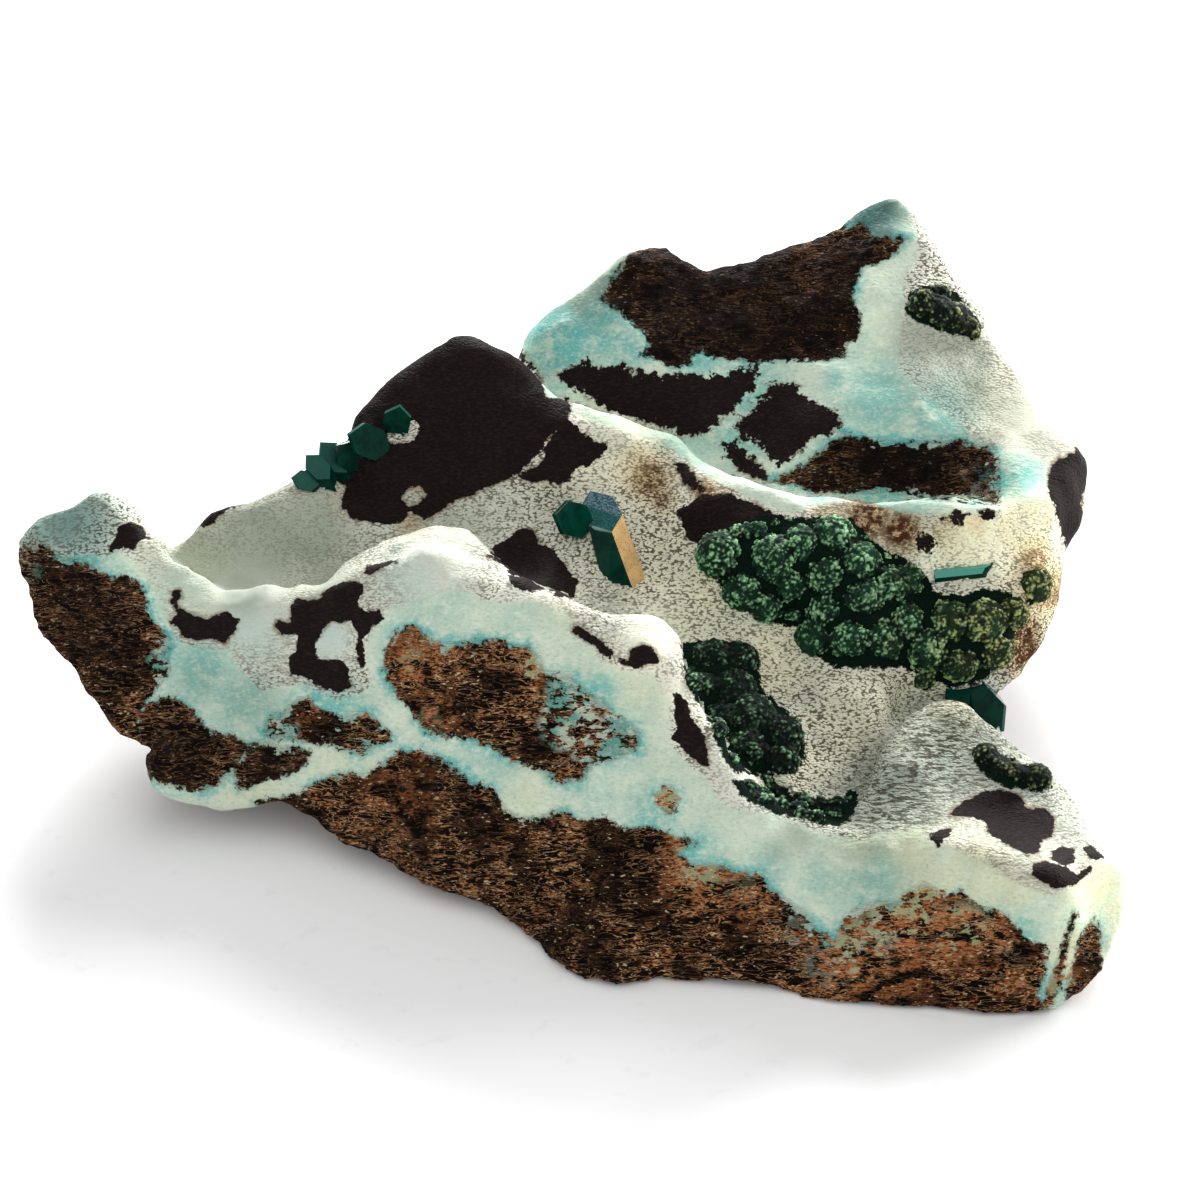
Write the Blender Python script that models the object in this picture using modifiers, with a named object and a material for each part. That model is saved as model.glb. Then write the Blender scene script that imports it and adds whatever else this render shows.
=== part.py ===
"""Dioptase specimen: a hollowed slab of copper rock with malachite nodules and dioptase crystals.

Metres, +Z up, resting on z = 0, with the origin under the middle of the specimen.
"""

import math

import bmesh
import bpy
import numpy as np
from mathutils import Matrix, Vector, noise
from mathutils.bvhtree import BVHTree
from mathutils.geometry import delaunay_2d_cdt

MM = 0.001

# Driving dimensions
SPECIMEN_LENGTH = 70 * MM
SEAM_GAP = 0.3 * MM
SOCKET_GAP = 0.36 * MM

# The line of sight along which the rock was measured
SIGHT_LENGTH_PIXELS = 1108
SIGHT_CENTRE = (600, 600)
SIGHT_RISE = math.radians(36)
SIGHT_DISTANCE = 300 * MM
SIGHT_TARGET = Vector((0, 0, 12 * MM))
PIXELS_PER_METRE = SIGHT_LENGTH_PIXELS / SPECIMEN_LENGTH

# Lines on the rock: each point is (across, down) in the photograph and its height in mm
FRONT_FOOT = [
    (14, 556, 11.5), (22, 604, 9.5), (36, 640, 8.5), (75, 687, 7), (106, 727, 5.5), (129, 748, 4.8),
    (130, 782, 3.8), (153, 806, 3.1), (206, 815, 2.5), (240, 806, 3), (268, 803, 3), (320, 827, 2.2),
    (385, 860, 1.5), (455, 905, 0.8), (510, 932, 0.4), (575, 981, 0), (650, 986, 0), (695, 976, 0.5),
    (745, 980, 0.5), (785, 1000, 0), (870, 1013, 0), (960, 1017, 0), (1046, 1016, 0), (1096, 992, 0.8),
    (1136, 925, 4),
]
RIGHT_FOOT = [
    (1131, 874, 5), (1102, 856, 5.8), (1087, 818, 5.8), (1050, 778, 5.5), (1003, 742, 4.5), (990, 722, 4.5),
    (1005, 688, 6.5), (1038, 648, 8), (1061, 592, 9.3), (1069, 545, 11), (1079, 500, 12.5), (1081, 462, 14.5),
]
LOBE_TOP = [(24, 540, 12.5), (38, 520, 14), (50, 508, 14.6), (75, 500, 15), (97, 488, 15.6), (112, 492, 15.3)]
RIM = [
    (118, 526, 14), (135, 524, 14.2), (148, 540, 13.6), (165, 553, 13.2), (185, 563, 12.9),
    (205, 582, 12.2), (225, 598, 11.8), (240, 606, 11.5), (258, 602, 12.2), (280, 595, 12.8),
    (310, 597, 13.4), (335, 590, 14.2), (365, 574, 15.4), (400, 560, 16.6), (440, 557, 17.2),
    (465, 572, 17.3), (500, 592, 17), (540, 592, 16.8), (570, 602, 16.6), (605, 628, 16.2),
    (640, 627, 16.2), (672, 648, 15.2), (685, 685, 14), (708, 722, 12.5), (727, 750, 11.3), (742, 798, 9.2),
    (790, 814, 8), (848, 840, 7.4), (880, 832, 7.8), (925, 833, 8), (965, 847, 8.2), (1005, 868, 8.2),
    (1060, 886, 8.2), (1096, 863, 7.6), (1119, 863, 7),
]
RIDGE = [
    (172, 548, 11.5), (188, 530, 12.5), (215, 512, 13.5), (250, 500, 14.3), (285, 490, 15),
    (300, 478, 15.4), (320, 455, 16.3), (350, 432, 17.2), (380, 393, 18.6), (405, 364, 19.8),
    (442, 330, 21.3), (472, 330, 21.3), (500, 353, 20.4), (520, 357, 20.1), (535, 375, 19.4),
    (547, 397, 18.6), (568, 401, 18.4), (600, 411, 18), (640, 422, 17.6), (670, 435, 17.3),
    (700, 455, 17), (740, 478, 16.9), (780, 490, 16.8), (830, 495, 16.5), (900, 497, 16.5),
    (950, 503, 16.3), (1000, 507, 16.3),
]
LEDGE_FRONT = [
    (560, 372, 17.8), (600, 364, 18.4), (650, 371, 18.4), (700, 372, 18.3), (740, 372, 18.2),
    (785, 386, 17.8), (840, 432, 16.8), (900, 437, 16.8), (1000, 442, 16.7),
]
LEDGE_BACK = [
    (600, 350, 18.9), (650, 362, 18.8), (700, 361, 18.8), (750, 358, 19), (850, 360, 19.4),
    (905, 368, 19.3), (960, 405, 17.8), (1000, 432, 16.9),
]
SKYLINE = [
    (533, 352, 18), (540, 325, 19), (550, 305, 20), (575, 298, 20.8), (595, 277, 21.8), (620, 257, 22.8),
    (645, 250, 23.2), (678, 256, 23), (690, 270, 22.2), (710, 268, 22.2), (740, 260, 22.5), (770, 249, 22.9),
    (810, 235, 23.6), (840, 220, 24.3), (862, 203, 25), (888, 196, 25.4), (902, 201, 25.2), (908, 235, 24),
    (925, 258, 23), (950, 274, 22), (966, 290, 21.2), (985, 320, 19.8), (1000, 350, 18.7), (1015, 385, 17.8),
    (1035, 412, 17), (1048, 424, 16.7),
]
SHELF_TOP = [
    (1007, 500, 16.5), (1004, 458, 16.6), (1040, 446, 16.6), (1074, 444, 16.4), (1069, 480, 15.8), (1050, 508, 15.2),
]
INNER_MOUND = [(380, 545, 14.6), (405, 528, 15.3), (430, 521, 15.6), (460, 526, 15.6), (482, 545, 15.3), (497, 570, 15)]
FRONT_LOBE = [
    (872, 795, 7.8), (885, 760, 8.6), (905, 725, 9.3), (935, 704, 9.6), (955, 704, 9.5), (1000, 738, 8.4),
    (1044, 773, 7.6), (1060, 797, 7.3), (1080, 822, 7.2), (1090, 852, 7.2),
]
NODULE_LIP = [
    (700, 505, 15.6), (750, 518, 15.6), (800, 518, 15.4), (850, 515, 15.4), (900, 520, 15.2), (925, 545, 14.6),
    (950, 575, 13.2), (1000, 580, 12.6), (1045, 574, 12.2),
]
NODULE_FOOT = [(760, 610, 10.6), (800, 640, 9.6), (850, 655, 9.2), (900, 660, 8.5), (950, 675, 7.4), (985, 680, 7)]
SLOPE_SPOTS = [
    (330, 540, 12.3), (400, 500, 13.8), (340, 480, 14.2), (450, 480, 14.6), (500, 470, 15.4), (560, 560, 12.8),
    (560, 480, 15), (620, 600, 11.2), (640, 540, 13), (640, 480, 15.3), (700, 600, 11.3), (700, 545, 13),
    (690, 480, 15.9), (740, 640, 9.8), (740, 700, 8.6), (700, 680, 9.2), (760, 760, 7), (790, 690, 8.2),
    (815, 740, 7), (835, 690, 8.8), (875, 700, 8.6), (920, 700, 7.8), (860, 740, 7.2), (840, 780, 5.8),
]

# Lines that the photograph hides, in mm from the point under the sight target
HOLLOW_FLOOR_MM = [
    (-29, 8, 9.5), (-26.5, 5, 9.3), (-23, 2.8, 9.2), (-19, 2, 9.3), (-15, 3.5, 10), (-11, 6.5, 11.3), (-8, 4.5, 12),
    (-5, 1, 12), (-2, -1.8, 11.3), (2, -3.5, 10), (5, -6.5, 8.3), (8, -10.5, 6.3), (10.5, -12.8, 5.4), (13, -14, 5),
    (14.8, -14.6, 5.2), (16, -12.5, 5.2), (17, -9.5, 5.3), (19, -5.6, 5), (21.5, -3.9, 4.6), (23.6, -3.4, 4.5),
]
CLEFT_MM = [
    (-6, 18, 16), (-2.8, 15.3, 15.2), (1, 14.3, 14.8), (4, 13.2, 14.3), (7, 11.5, 13.8), (10, 8.6, 13.5),
    (13, 7.4, 13.3), (17, 7.2, 13.3), (21, 7, 13.5), (24.4, 6.6, 14),
]
BACK_FOOT_MM = [
    (31, 14, 11), (29.8, 18, 8), (28.5, 22, 8), (26.5, 26, 8), (23, 29.5, 8), (18, 31, 8), (10, 29.5, 8.5),
    (3, 28.5, 8), (-3, 27, 8), (-6.5, 24, 8), (-8.5, 20.5, 7), (-13, 19.5, 7), (-17, 15.5, 6), (-21, 12, 6),
    (-26, 10.5, 6), (-31, 11, 7), (-35, 10, 8.5), (-37.6, 8, 10),
]
UNDERSIDE_MM = [
    (-14, -8, -1), (-7, -13, -1), (-2, -19, -1), (10, -21, -1), (26, -22.5, -1), (27, -14, -0.5), (22, -6, -1),
    (21, 2, -0.8), (19, 12, -0.8), (10, 17, -1), (0, 15, -1), (-10, 10, -0.8), (-16, 0, -0.8), (0, 0, -1),
    (10, -8, -1), (10, 6, -1),
    (-22, -4, 1.2), (-28, 0, 3.5), (-31, 5, 5.5), (-24, 5, 2.5), (25, 4, 4), (25, 12, 4), (22, 21, 4), (14, 25, 4),
    (5, 23, 3.5), (-3, 20, 3.5), (-10, 15, 2.5), (-18, 9, 2.5),
]

# Rounded bulges of the crust: (across, down) in the photograph and the radius in mm
CRUST_LUMPS = [
    (150, 548, 1.2), (192, 588, 1.2), (228, 612, 1.3), (262, 612, 1.6), (300, 606, 1.7), (345, 602, 1.5),
    (385, 585, 1.6), (425, 572, 2), (465, 586, 1.8), (505, 608, 1.8), (548, 608, 1.5), (585, 622, 1.3),
    (612, 642, 1.5), (645, 650, 2), (672, 690, 1.5), (700, 738, 1.4), (722, 776, 1.2), (762, 816, 1.3),
    (802, 834, 1.4), (846, 852, 1.5), (888, 850, 1.6), (934, 852, 1.4), (982, 868, 1.5), (1032, 886, 1.5),
    (398, 548, 1.6), (434, 538, 1.8), (472, 548, 1.6), (798, 792, 1.4), (955, 714, 1.7), (1010, 760, 1.4),
    (905, 775, 1.6), (652, 272, 1.8), (562, 335, 2), (880, 232, 1.8), (620, 440, 1.6), (700, 480, 1.3),
    (624, 602, 1.5),
]

# The broken block under the left lobe: (across, down) in the photograph, height and radius in mm
LEFT_BLOCK = [(174, 766, 4.8, 1.9), (186, 775, 4.2, 1.7), (200, 781, 3.7, 1.4)]

# Nodules of malachite: (across, down) in the photograph and the radius in mm
MALACHITE_UPPER = [
    (722, 556, 1.5), (743, 588, 1.4), (772, 560, 1.6), (766, 606, 1.1), (790, 584, 1.2), (800, 548, 1.3),
    (832, 540, 1.5), (826, 576, 1.5), (858, 566, 1.5), (862, 598, 1.4), (888, 588, 1.4), (910, 580, 1.1),
    (818, 640, 1.4), (828, 612, 1.3), (850, 642, 1.4), (880, 640, 1.5), (905, 622, 1.4), (925, 648, 1.5),
    (950, 622, 1.5), (958, 662, 1.3), (982, 622, 1.5), (992, 648, 1.3), (1010, 612, 1.1), (1034, 586, 1.1),
    (922, 676, 0.9),
]
MALACHITE_LOWER = [
    (712, 664, 1.4), (738, 664, 1.3), (702, 690, 1), (733, 696, 1.5), (722, 722, 1.3), (752, 722, 1.5),
    (782, 738, 1.3), (748, 754, 1.5), (778, 764, 1.2), (764, 784, 0.8), (782, 795, 0.7), (800, 804, 0.7),
    (819, 810, 0.7), (838, 810, 0.7),
]
MALACHITE_RIGHT = [(985, 760, 0.9), (1000, 772, 0.8), (1016, 776, 0.7), (1036, 780, 0.9)]
MALACHITE_BACK = [(920, 305, 1), (935, 312, 1.1), (952, 320, 1.1), (968, 330, 0.8)]

# The tall prism and its partner: where each foot meets the rock, and the way each one points
PRISM = {
    "foot": (624, 575), "axis": (-0.345, 0.552, 0.76), "side": 1.32, "shoulder": 2.84, "turn": 9, "sunk": 0.75,
}
PARTNER = {
    "foot": (578, 524), "axis": (-0.1, -0.75, 0.65), "side": 1.25, "shoulder": 1.5, "turn": 32, "sunk": 0,
}

# Smaller crystals: foot (across, down), axis, side and length to the shoulder in mm
SMALL_CRYSTALS = {
    "dioptase_left": [
        ((308, 482), (-0.4, -0.6, 0.7), 0.7, -0.4), ((322, 474), (-0.35, -0.2, 0.9), 0.75, -0.1),
        ((338, 466), (-0.3, -0.2, 0.9), 0.9, -0.1), ((352, 458), (-0.1, -0.7, 0.7), 1, -0.4),
        ((372, 444), (-0.2, -0.7, 0.7), 1.2, -0.5), ((396, 424), (0.1, -0.7, 0.7), 1, -0.5),
    ],
    "dioptase_right": [
        ((976, 699), (0.15, -0.95, 0.3), 1.4, 0.6), ((958, 694), (-0.1, -0.9, 0.4), 0.9, 0.2),
    ],
    "dioptase_shelf": [((956, 574), (0.99, 0.1, 0.05), 0.42, 1.6)],
}
AMONG_THE_NODULES = ("dioptase_right", "dioptase_shelf")
SMALL_TURN = 23
SHOULDER_SLOPE = math.radians(51.3)
FAR_SHOULDER = 1.5
SIDES_PAST_SHOULDER = 4
ROOT_DEPTH = 1.4 * MM

ROCK_VOXEL = 0.5 * MM
ROCK_SMOOTHING = 4
CRUST_SMOOTHING = 2
SPHERE_FINENESS = 3
ROCK_BUMPS = ((5 * MM, 0.7 * MM), (1.8 * MM, 0.35 * MM))
LUMP_SUNK = 0.62
NODULE_RAISED = 0.15
ROCK_TRIANGLES = 4900
NODULE_VOXEL = 0.22 * MM
TRIANGLES_PER_NODULE = 54
TRIANGLES_PER_SOCKET = 34
SMOOTHING_LOSS = 0.22 * MM

CAMERA_SIDE = Vector((0, -math.cos(SIGHT_RISE), math.sin(SIGHT_RISE)))
UP_THE_PICTURE = Vector((0, math.sin(SIGHT_RISE), math.cos(SIGHT_RISE)))
EYE = SIGHT_TARGET + CAMERA_SIDE * SIGHT_DISTANCE

MATERIALS = {
    "matrix": ((0.55, 0.62, 0.55), 0.85),
    "malachite": ((0.02, 0.12, 0.07), 0.6),
    "dioptase": ((0.0, 0.09, 0.08), 0.15),
}


def sight_line(across, down):
    """The direction in which the eye sees that place of the photograph."""
    ray = Vector((1, 0, 0)) * (across - SIGHT_CENTRE[0])
    ray += UP_THE_PICTURE * (SIGHT_CENTRE[1] - down)
    return (ray - CAMERA_SIDE * SIGHT_DISTANCE * PIXELS_PER_METRE).normalized()


def seen(across, down, height):
    """The point at that height, in mm, on the line of sight through that place of the photograph."""
    ray = sight_line(across, down)
    return EYE + ray * ((height * MM - EYE.z) / ray.z)


def on_rock(tree, across, down):
    """The point of the rock that shows at that place of the photograph, and its normal."""
    point, normal, _, _ = tree.ray_cast(EYE, sight_line(across, down))
    if point is None:
        raise ValueError(f"no rock shows at {across}, {down}")
    return point, normal


def in_mm(points):
    return [Vector(p) * MM for p in points]


def linked(name, mesh, collection):
    obj = bpy.data.objects.new(name, mesh)
    collection.objects.link(obj)
    return obj


def cut_away(shape, place, outward):
    """Remove what lies past a plane and close the cut with a flat face."""
    everything = shape.verts[:] + shape.edges[:] + shape.faces[:]
    bmesh.ops.bisect_plane(shape, geom=everything, plane_co=place, plane_no=outward, clear_outer=True)
    bmesh.ops.holes_fill(shape, edges=[edge for edge in shape.edges if edge.is_boundary])


def object_of(name, shape, collection):
    """An object from a bmesh, which is freed."""
    mesh = bpy.data.meshes.new(name)
    shape.to_mesh(mesh)
    shape.free()
    return linked(name, mesh, collection)


def apply_modifiers(obj):
    bpy.context.view_layer.update()
    graph = bpy.context.evaluated_depsgraph_get()
    old = obj.data
    obj.data = bpy.data.meshes.new_from_object(obj.evaluated_get(graph))
    obj.modifiers.clear()
    bpy.data.meshes.remove(old)


def remeshed(obj, voxel, smoothing):
    remesh = obj.modifiers.new("even faces", "REMESH")
    remesh.mode = "VOXEL"
    remesh.voxel_size = voxel
    smooth = obj.modifiers.new("worn", "SMOOTH")
    smooth.factor = 0.5
    smooth.iterations = smoothing
    apply_modifiers(obj)


def thinned(obj, triangles):
    """The object with about this many triangles."""
    obj.data.calc_loop_triangles()
    decimate = obj.modifiers.new("fewer faces", "DECIMATE")
    decimate.ratio = triangles / len(obj.data.loop_triangles)
    decimate.use_collapse_triangulate = True
    apply_modifiers(obj)


def sphere_into(shape, centre, radius):
    made = bmesh.ops.create_icosphere(shape, subdivisions=SPHERE_FINENESS, radius=radius)
    bmesh.ops.translate(shape, verts=made["verts"], vec=centre)


def surface(outline, lines, spots, upward):
    """A land surface through the outline, the lines and the spots, as triangles over the plan."""
    places = list(outline)
    edges = []
    for line in lines:
        edges += [(len(places) + k, len(places) + k + 1) for k in range(len(line) - 1)]
        places += line
    places += spots
    plan = [p.xy / MM for p in places]
    flat, _, faces, sources, _, _ = delaunay_2d_cdt(plan, edges, [list(range(len(outline)))], 1, 1e-4)
    for index, found in enumerate(sources):
        if not found:
            raise ValueError(f"two lines cross in plan near {flat[index]}")
    points = [Vector((p.x * MM, p.y * MM, places[found[0]].z)) for p, found in zip(flat, sources)]
    return points, [face if upward else face[::-1] for face in faces]


def land_solid(name, outline, lines, spots, underside, collection):
    """A closed solid between a land surface and an underside that share one outline."""
    shape = bmesh.new()
    sides = (surface(outline, lines, spots, True), surface(outline, [], underside, False))
    for places, faces in sides:
        corners = [shape.verts.new(p) for p in places]
        for face in faces:
            shape.faces.new([corners[i] for i in face])
    bmesh.ops.remove_doubles(shape, verts=shape.verts, dist=0.001 * MM)
    bmesh.ops.recalc_face_normals(shape, faces=shape.faces)
    return object_of(name, shape, collection)


def roughen(obj, layers):
    """Move each point along its normal by noise: each layer is (size of the lumps, height), both in metres."""
    shape = bmesh.new()
    shape.from_mesh(obj.data)
    moves = []
    for vert in shape.verts:
        bumps = sum(height * noise.noise(vert.co / size) for size, height in layers)
        moves.append(bumps + SMOOTHING_LOSS)
    normals = [vert.normal.copy() for vert in shape.verts]
    for vert, normal, move in zip(shape.verts, normals, moves):
        vert.co += normal * move
    shape.to_mesh(obj.data)
    shape.free()


def base_rock(collection):
    outline = [seen(*p) for p in FRONT_FOOT + RIGHT_FOOT] + in_mm(BACK_FOOT_MM)
    rails = (LOBE_TOP, RIM, RIDGE, LEDGE_FRONT, LEDGE_BACK, SKYLINE, SHELF_TOP, INNER_MOUND, FRONT_LOBE,
             NODULE_LIP, NODULE_FOOT)
    lines = [[seen(*p) for p in rail] for rail in rails]
    lines += [in_mm(HOLLOW_FLOOR_MM), in_mm(CLEFT_MM)]
    spots = [seen(*p) for p in SLOPE_SPOTS]
    rock = land_solid("matrix", outline, lines, spots, in_mm(UNDERSIDE_MM), collection)
    remeshed(rock, ROCK_VOXEL, ROCK_SMOOTHING)
    return rock


def tree_of(obj):
    return BVHTree.FromPolygons([v.co for v in obj.data.vertices], [p.vertices for p in obj.data.polygons])


def matrix_rock(collection):
    """The slab with its crust lumps, its broken faces and the flat base that it rests on."""
    rock = base_rock(collection)
    tree = tree_of(rock)
    shape = bmesh.new()
    shape.from_mesh(rock.data)
    for across, down, radius in CRUST_LUMPS:
        point, normal = on_rock(tree, across, down)
        sphere_into(shape, point - normal * radius * LUMP_SUNK * MM, radius * MM)
    for across, down, height, radius in LEFT_BLOCK:
        sphere_into(shape, seen(across, down, height), radius * MM)
    shape.to_mesh(rock.data)
    shape.free()
    remeshed(rock, ROCK_VOXEL, CRUST_SMOOTHING)
    roughen(rock, ROCK_BUMPS)
    thinned(rock, ROCK_TRIANGLES)
    shape = bmesh.new()
    shape.from_mesh(rock.data)
    cut_away(shape, Vector((0, 0, 0)), Vector((0, 0, -1)))
    bmesh.ops.triangulate(shape, faces=shape.faces)
    shape.to_mesh(rock.data)
    shape.free()
    return rock


def nodules(name, tree, places, grown, triangles, collection):
    """Round nodules grown together over the rock, each one larger by the given amount."""
    shape = bmesh.new()
    for across, down, radius in places:
        point, normal = on_rock(tree, across, down)
        sphere_into(shape, point + normal * radius * NODULE_RAISED * MM, radius * MM + grown)
    cluster = object_of(name, shape, collection)
    remeshed(cluster, NODULE_VOXEL, CRUST_SMOOTHING)
    thinned(cluster, triangles * len(places))
    return cluster


def prism(name, tree, spec, grown, collection):
    """A six-sided crystal out of the rock, cut at its free end by a large slanting face and two small ones."""
    axis = Vector(spec["axis"]).normalized()
    side = spec["side"] * MM
    shoulder = spec["shoulder"] * MM
    turn = math.radians(spec["turn"])
    start = on_rock(tree, *spec["foot"])[0] - CAMERA_SIDE * spec["sunk"] * MM
    ahead = (CAMERA_SIDE - axis * CAMERA_SIDE.dot(axis)).normalized()
    edge_way = ahead * math.cos(turn) - ahead.cross(axis) * math.sin(turn)
    rest_way = edge_way.cross(axis)
    length = ROOT_DEPTH + shoulder + SIDES_PAST_SHOULDER * side
    shape = bmesh.new()
    bmesh.ops.create_cone(
        shape, cap_ends=True, segments=6, radius1=side + grown, radius2=side + grown, depth=length + 2 * grown
    )
    first = shape.verts[:][0].co.xy.to_3d().normalized()
    second = Vector((0, 0, 1)).cross(first)
    for vert in shape.verts:
        local = vert.co.copy()
        along = local.z + length / 2 - ROOT_DEPTH
        vert.co = start + axis * along + edge_way * local.dot(first) - rest_way * local.dot(second)
    for around, extra in ((0, 0), (120, FAR_SHOULDER * side), (240, FAR_SHOULDER * side)):
        way = edge_way * math.cos(math.radians(around)) - rest_way * math.sin(math.radians(around))
        slope = way * math.sin(SHOULDER_SLOPE) + axis * math.cos(SHOULDER_SLOPE)
        corner = start + way * side + axis * (shoulder + extra) + slope * grown
        cut_away(shape, corner, slope)
    bmesh.ops.recalc_face_normals(shape, faces=shape.faces)
    bmesh.ops.triangulate(shape, faces=shape.faces)
    return object_of(name, shape, collection)


def combined(target, other, operation):
    """Join or cut the target with the other, which is left in place."""
    boolean = target.modifiers.new(operation.lower(), "BOOLEAN")
    boolean.operation = operation
    boolean.object = other
    apply_modifiers(target)


def crystals(name, tree, specs, grown, collection):
    """Crystals grown into one another, as one solid."""
    whole = prism(name, tree, specs[0], grown, collection)
    for spec in specs[1:]:
        part = prism(name + "_part", tree, spec, grown, collection)
        combined(whole, part, "UNION")
        bpy.data.objects.remove(part)
    return whole


def without_crumbs(obj):
    """Keep only the largest of the pieces that do not touch one another."""
    shape = bmesh.new()
    shape.from_mesh(obj.data)
    left = set(shape.verts)
    pieces = []
    while left:
        front = [left.pop()]
        piece = list(front)
        while front:
            near = {edge.other_vert(vert) for vert in front for edge in vert.link_edges} & left
            left -= near
            front = list(near)
            piece += front
        pieces.append(piece)
    pieces.sort(key=len)
    for piece in pieces[:-1]:
        bmesh.ops.delete(shape, geom=piece, context="VERTS")
    shape.to_mesh(obj.data)
    shape.free()


def painted(obj, name):
    colour, roughness = MATERIALS[name]
    material = bpy.data.materials.get(name) or bpy.data.materials.new(name)
    material.use_nodes = True
    shader = material.node_tree.nodes["Principled BSDF"]
    shader.inputs["Base Color"].default_value = (*colour, 1)
    shader.inputs["Roughness"].default_value = roughness
    obj.data.materials.clear()
    obj.data.materials.append(material)


def centre(rock, objects):
    """Move everything so that the origin lies under the middle of the rock's box, on the surface it rests on."""
    places = np.array([vert.co for vert in rock.data.vertices])
    middle = (places.min(axis=0) + places.max(axis=0)) / 2
    shift = Matrix.Translation((-middle[0], -middle[1], 0))
    for obj in objects:
        obj.data.transform(shift)


def main():
    for obj in list(bpy.data.objects):
        bpy.data.objects.remove(obj)
    parts = bpy.data.collections.new("dioptase_specimen")
    cutters = bpy.data.collections.new("cutters")
    bpy.context.scene.collection.children.link(parts)
    bpy.context.scene.collection.children.link(cutters)

    rock = matrix_rock(parts)
    tree = tree_of(rock)
    grown_on = {}
    for name, places in (("malachite_upper", MALACHITE_UPPER), ("malachite_lower", MALACHITE_LOWER),
                         ("malachite_right", MALACHITE_RIGHT), ("malachite_back", MALACHITE_BACK)):
        grown_on[name] = (nodules(name, tree, places, 0, TRIANGLES_PER_NODULE, parts),
                          nodules(name + "_socket", tree, places, SOCKET_GAP, TRIANGLES_PER_SOCKET, cutters))
    groups = {"dioptase_prism": [PRISM, PARTNER]}
    for name, small in SMALL_CRYSTALS.items():
        groups[name] = [
            {"foot": foot, "axis": axis, "side": side, "shoulder": shoulder, "turn": SMALL_TURN, "sunk": 0}
            for foot, axis, side, shoulder in small
        ]
    for name, specs in groups.items():
        grown_on[name] = (crystals(name, tree, specs, 0, parts),
                          crystals(name + "_socket", tree, specs, SEAM_GAP, cutters))
    for name, (body, socket) in grown_on.items():
        socket.hide_render = True
        socket.display_type = "WIRE"
        combined(rock, socket, "DIFFERENCE")
        painted(body, name.split("_")[0])
    without_crumbs(rock)
    nodules_above = grown_on["malachite_upper"][0]
    for name in AMONG_THE_NODULES:
        combined(nodules_above, grown_on[name][1], "DIFFERENCE")
    without_crumbs(nodules_above)
    painted(rock, "matrix")
    centre(rock, list(parts.objects) + list(cutters.objects))


if __name__ == "__main__":
    main()
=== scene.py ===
"""Dioptase specimen: crusted copper rock with malachite nodules and dioptase crystals, on a white floor.

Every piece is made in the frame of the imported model, in metres.
"""

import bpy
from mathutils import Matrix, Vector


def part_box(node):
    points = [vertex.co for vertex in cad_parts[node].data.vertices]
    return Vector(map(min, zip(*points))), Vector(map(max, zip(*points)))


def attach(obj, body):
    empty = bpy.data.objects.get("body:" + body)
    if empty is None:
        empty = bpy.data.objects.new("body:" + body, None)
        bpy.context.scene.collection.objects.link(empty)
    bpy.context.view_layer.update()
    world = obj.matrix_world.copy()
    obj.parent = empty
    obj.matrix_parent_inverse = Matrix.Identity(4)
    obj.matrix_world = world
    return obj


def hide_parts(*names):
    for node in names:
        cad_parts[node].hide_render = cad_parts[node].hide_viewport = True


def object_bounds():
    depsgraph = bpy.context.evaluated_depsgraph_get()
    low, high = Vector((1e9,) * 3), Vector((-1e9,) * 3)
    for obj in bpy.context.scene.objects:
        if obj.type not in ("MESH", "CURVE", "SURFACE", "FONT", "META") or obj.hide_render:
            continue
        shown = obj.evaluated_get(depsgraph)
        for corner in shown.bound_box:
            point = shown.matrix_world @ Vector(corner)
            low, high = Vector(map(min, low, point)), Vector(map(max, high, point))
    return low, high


bl_info = {
    "name": "Dioptase specimen",
    "version": (1, 0, 0),
    "blender": (4, 5, 0),
    "location": "View3D > Sidebar > Specimen",
    "description": "Builds a dioptase specimen with its crust, broken core, malachite and crystals",
    "category": "Add Mesh",
}

import math

import bmesh
import bpy
import numpy as np
from bpy.props import FloatProperty, FloatVectorProperty, PointerProperty
from mathutils import Matrix, Vector, noise
from mathutils.bvhtree import BVHTree

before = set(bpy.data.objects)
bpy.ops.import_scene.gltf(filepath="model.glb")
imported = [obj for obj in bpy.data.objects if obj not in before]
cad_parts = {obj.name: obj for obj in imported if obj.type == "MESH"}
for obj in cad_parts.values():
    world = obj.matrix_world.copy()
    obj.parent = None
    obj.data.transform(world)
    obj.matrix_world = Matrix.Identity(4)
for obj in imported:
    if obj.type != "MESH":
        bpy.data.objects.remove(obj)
cad_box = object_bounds()

MM = 0.001

# The camera that shows the specimen as the photograph does
FRAME_PIXELS = 1200
MIDDLE = FRAME_PIXELS / 2
SIGHT_RISE = math.radians(36)
SIGHT_DISTANCE = 300 * MM
SIGHT_TARGET = Vector((2.646, -2.338, 12)) * MM
SPECIMEN_PIXELS = 1108
SPECIMEN_LENGTH = 0.07
PIXELS_PER_METRE = SPECIMEN_PIXELS / SPECIMEN_LENGTH
SENSOR = 36.0
TOWARDS_EYE = Vector((0, -math.cos(SIGHT_RISE), math.sin(SIGHT_RISE)))
UP_THE_PICTURE = Vector((0, math.sin(SIGHT_RISE), math.cos(SIGHT_RISE)))
EYE = SIGHT_TARGET + TOWARDS_EYE * SIGHT_DISTANCE

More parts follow.
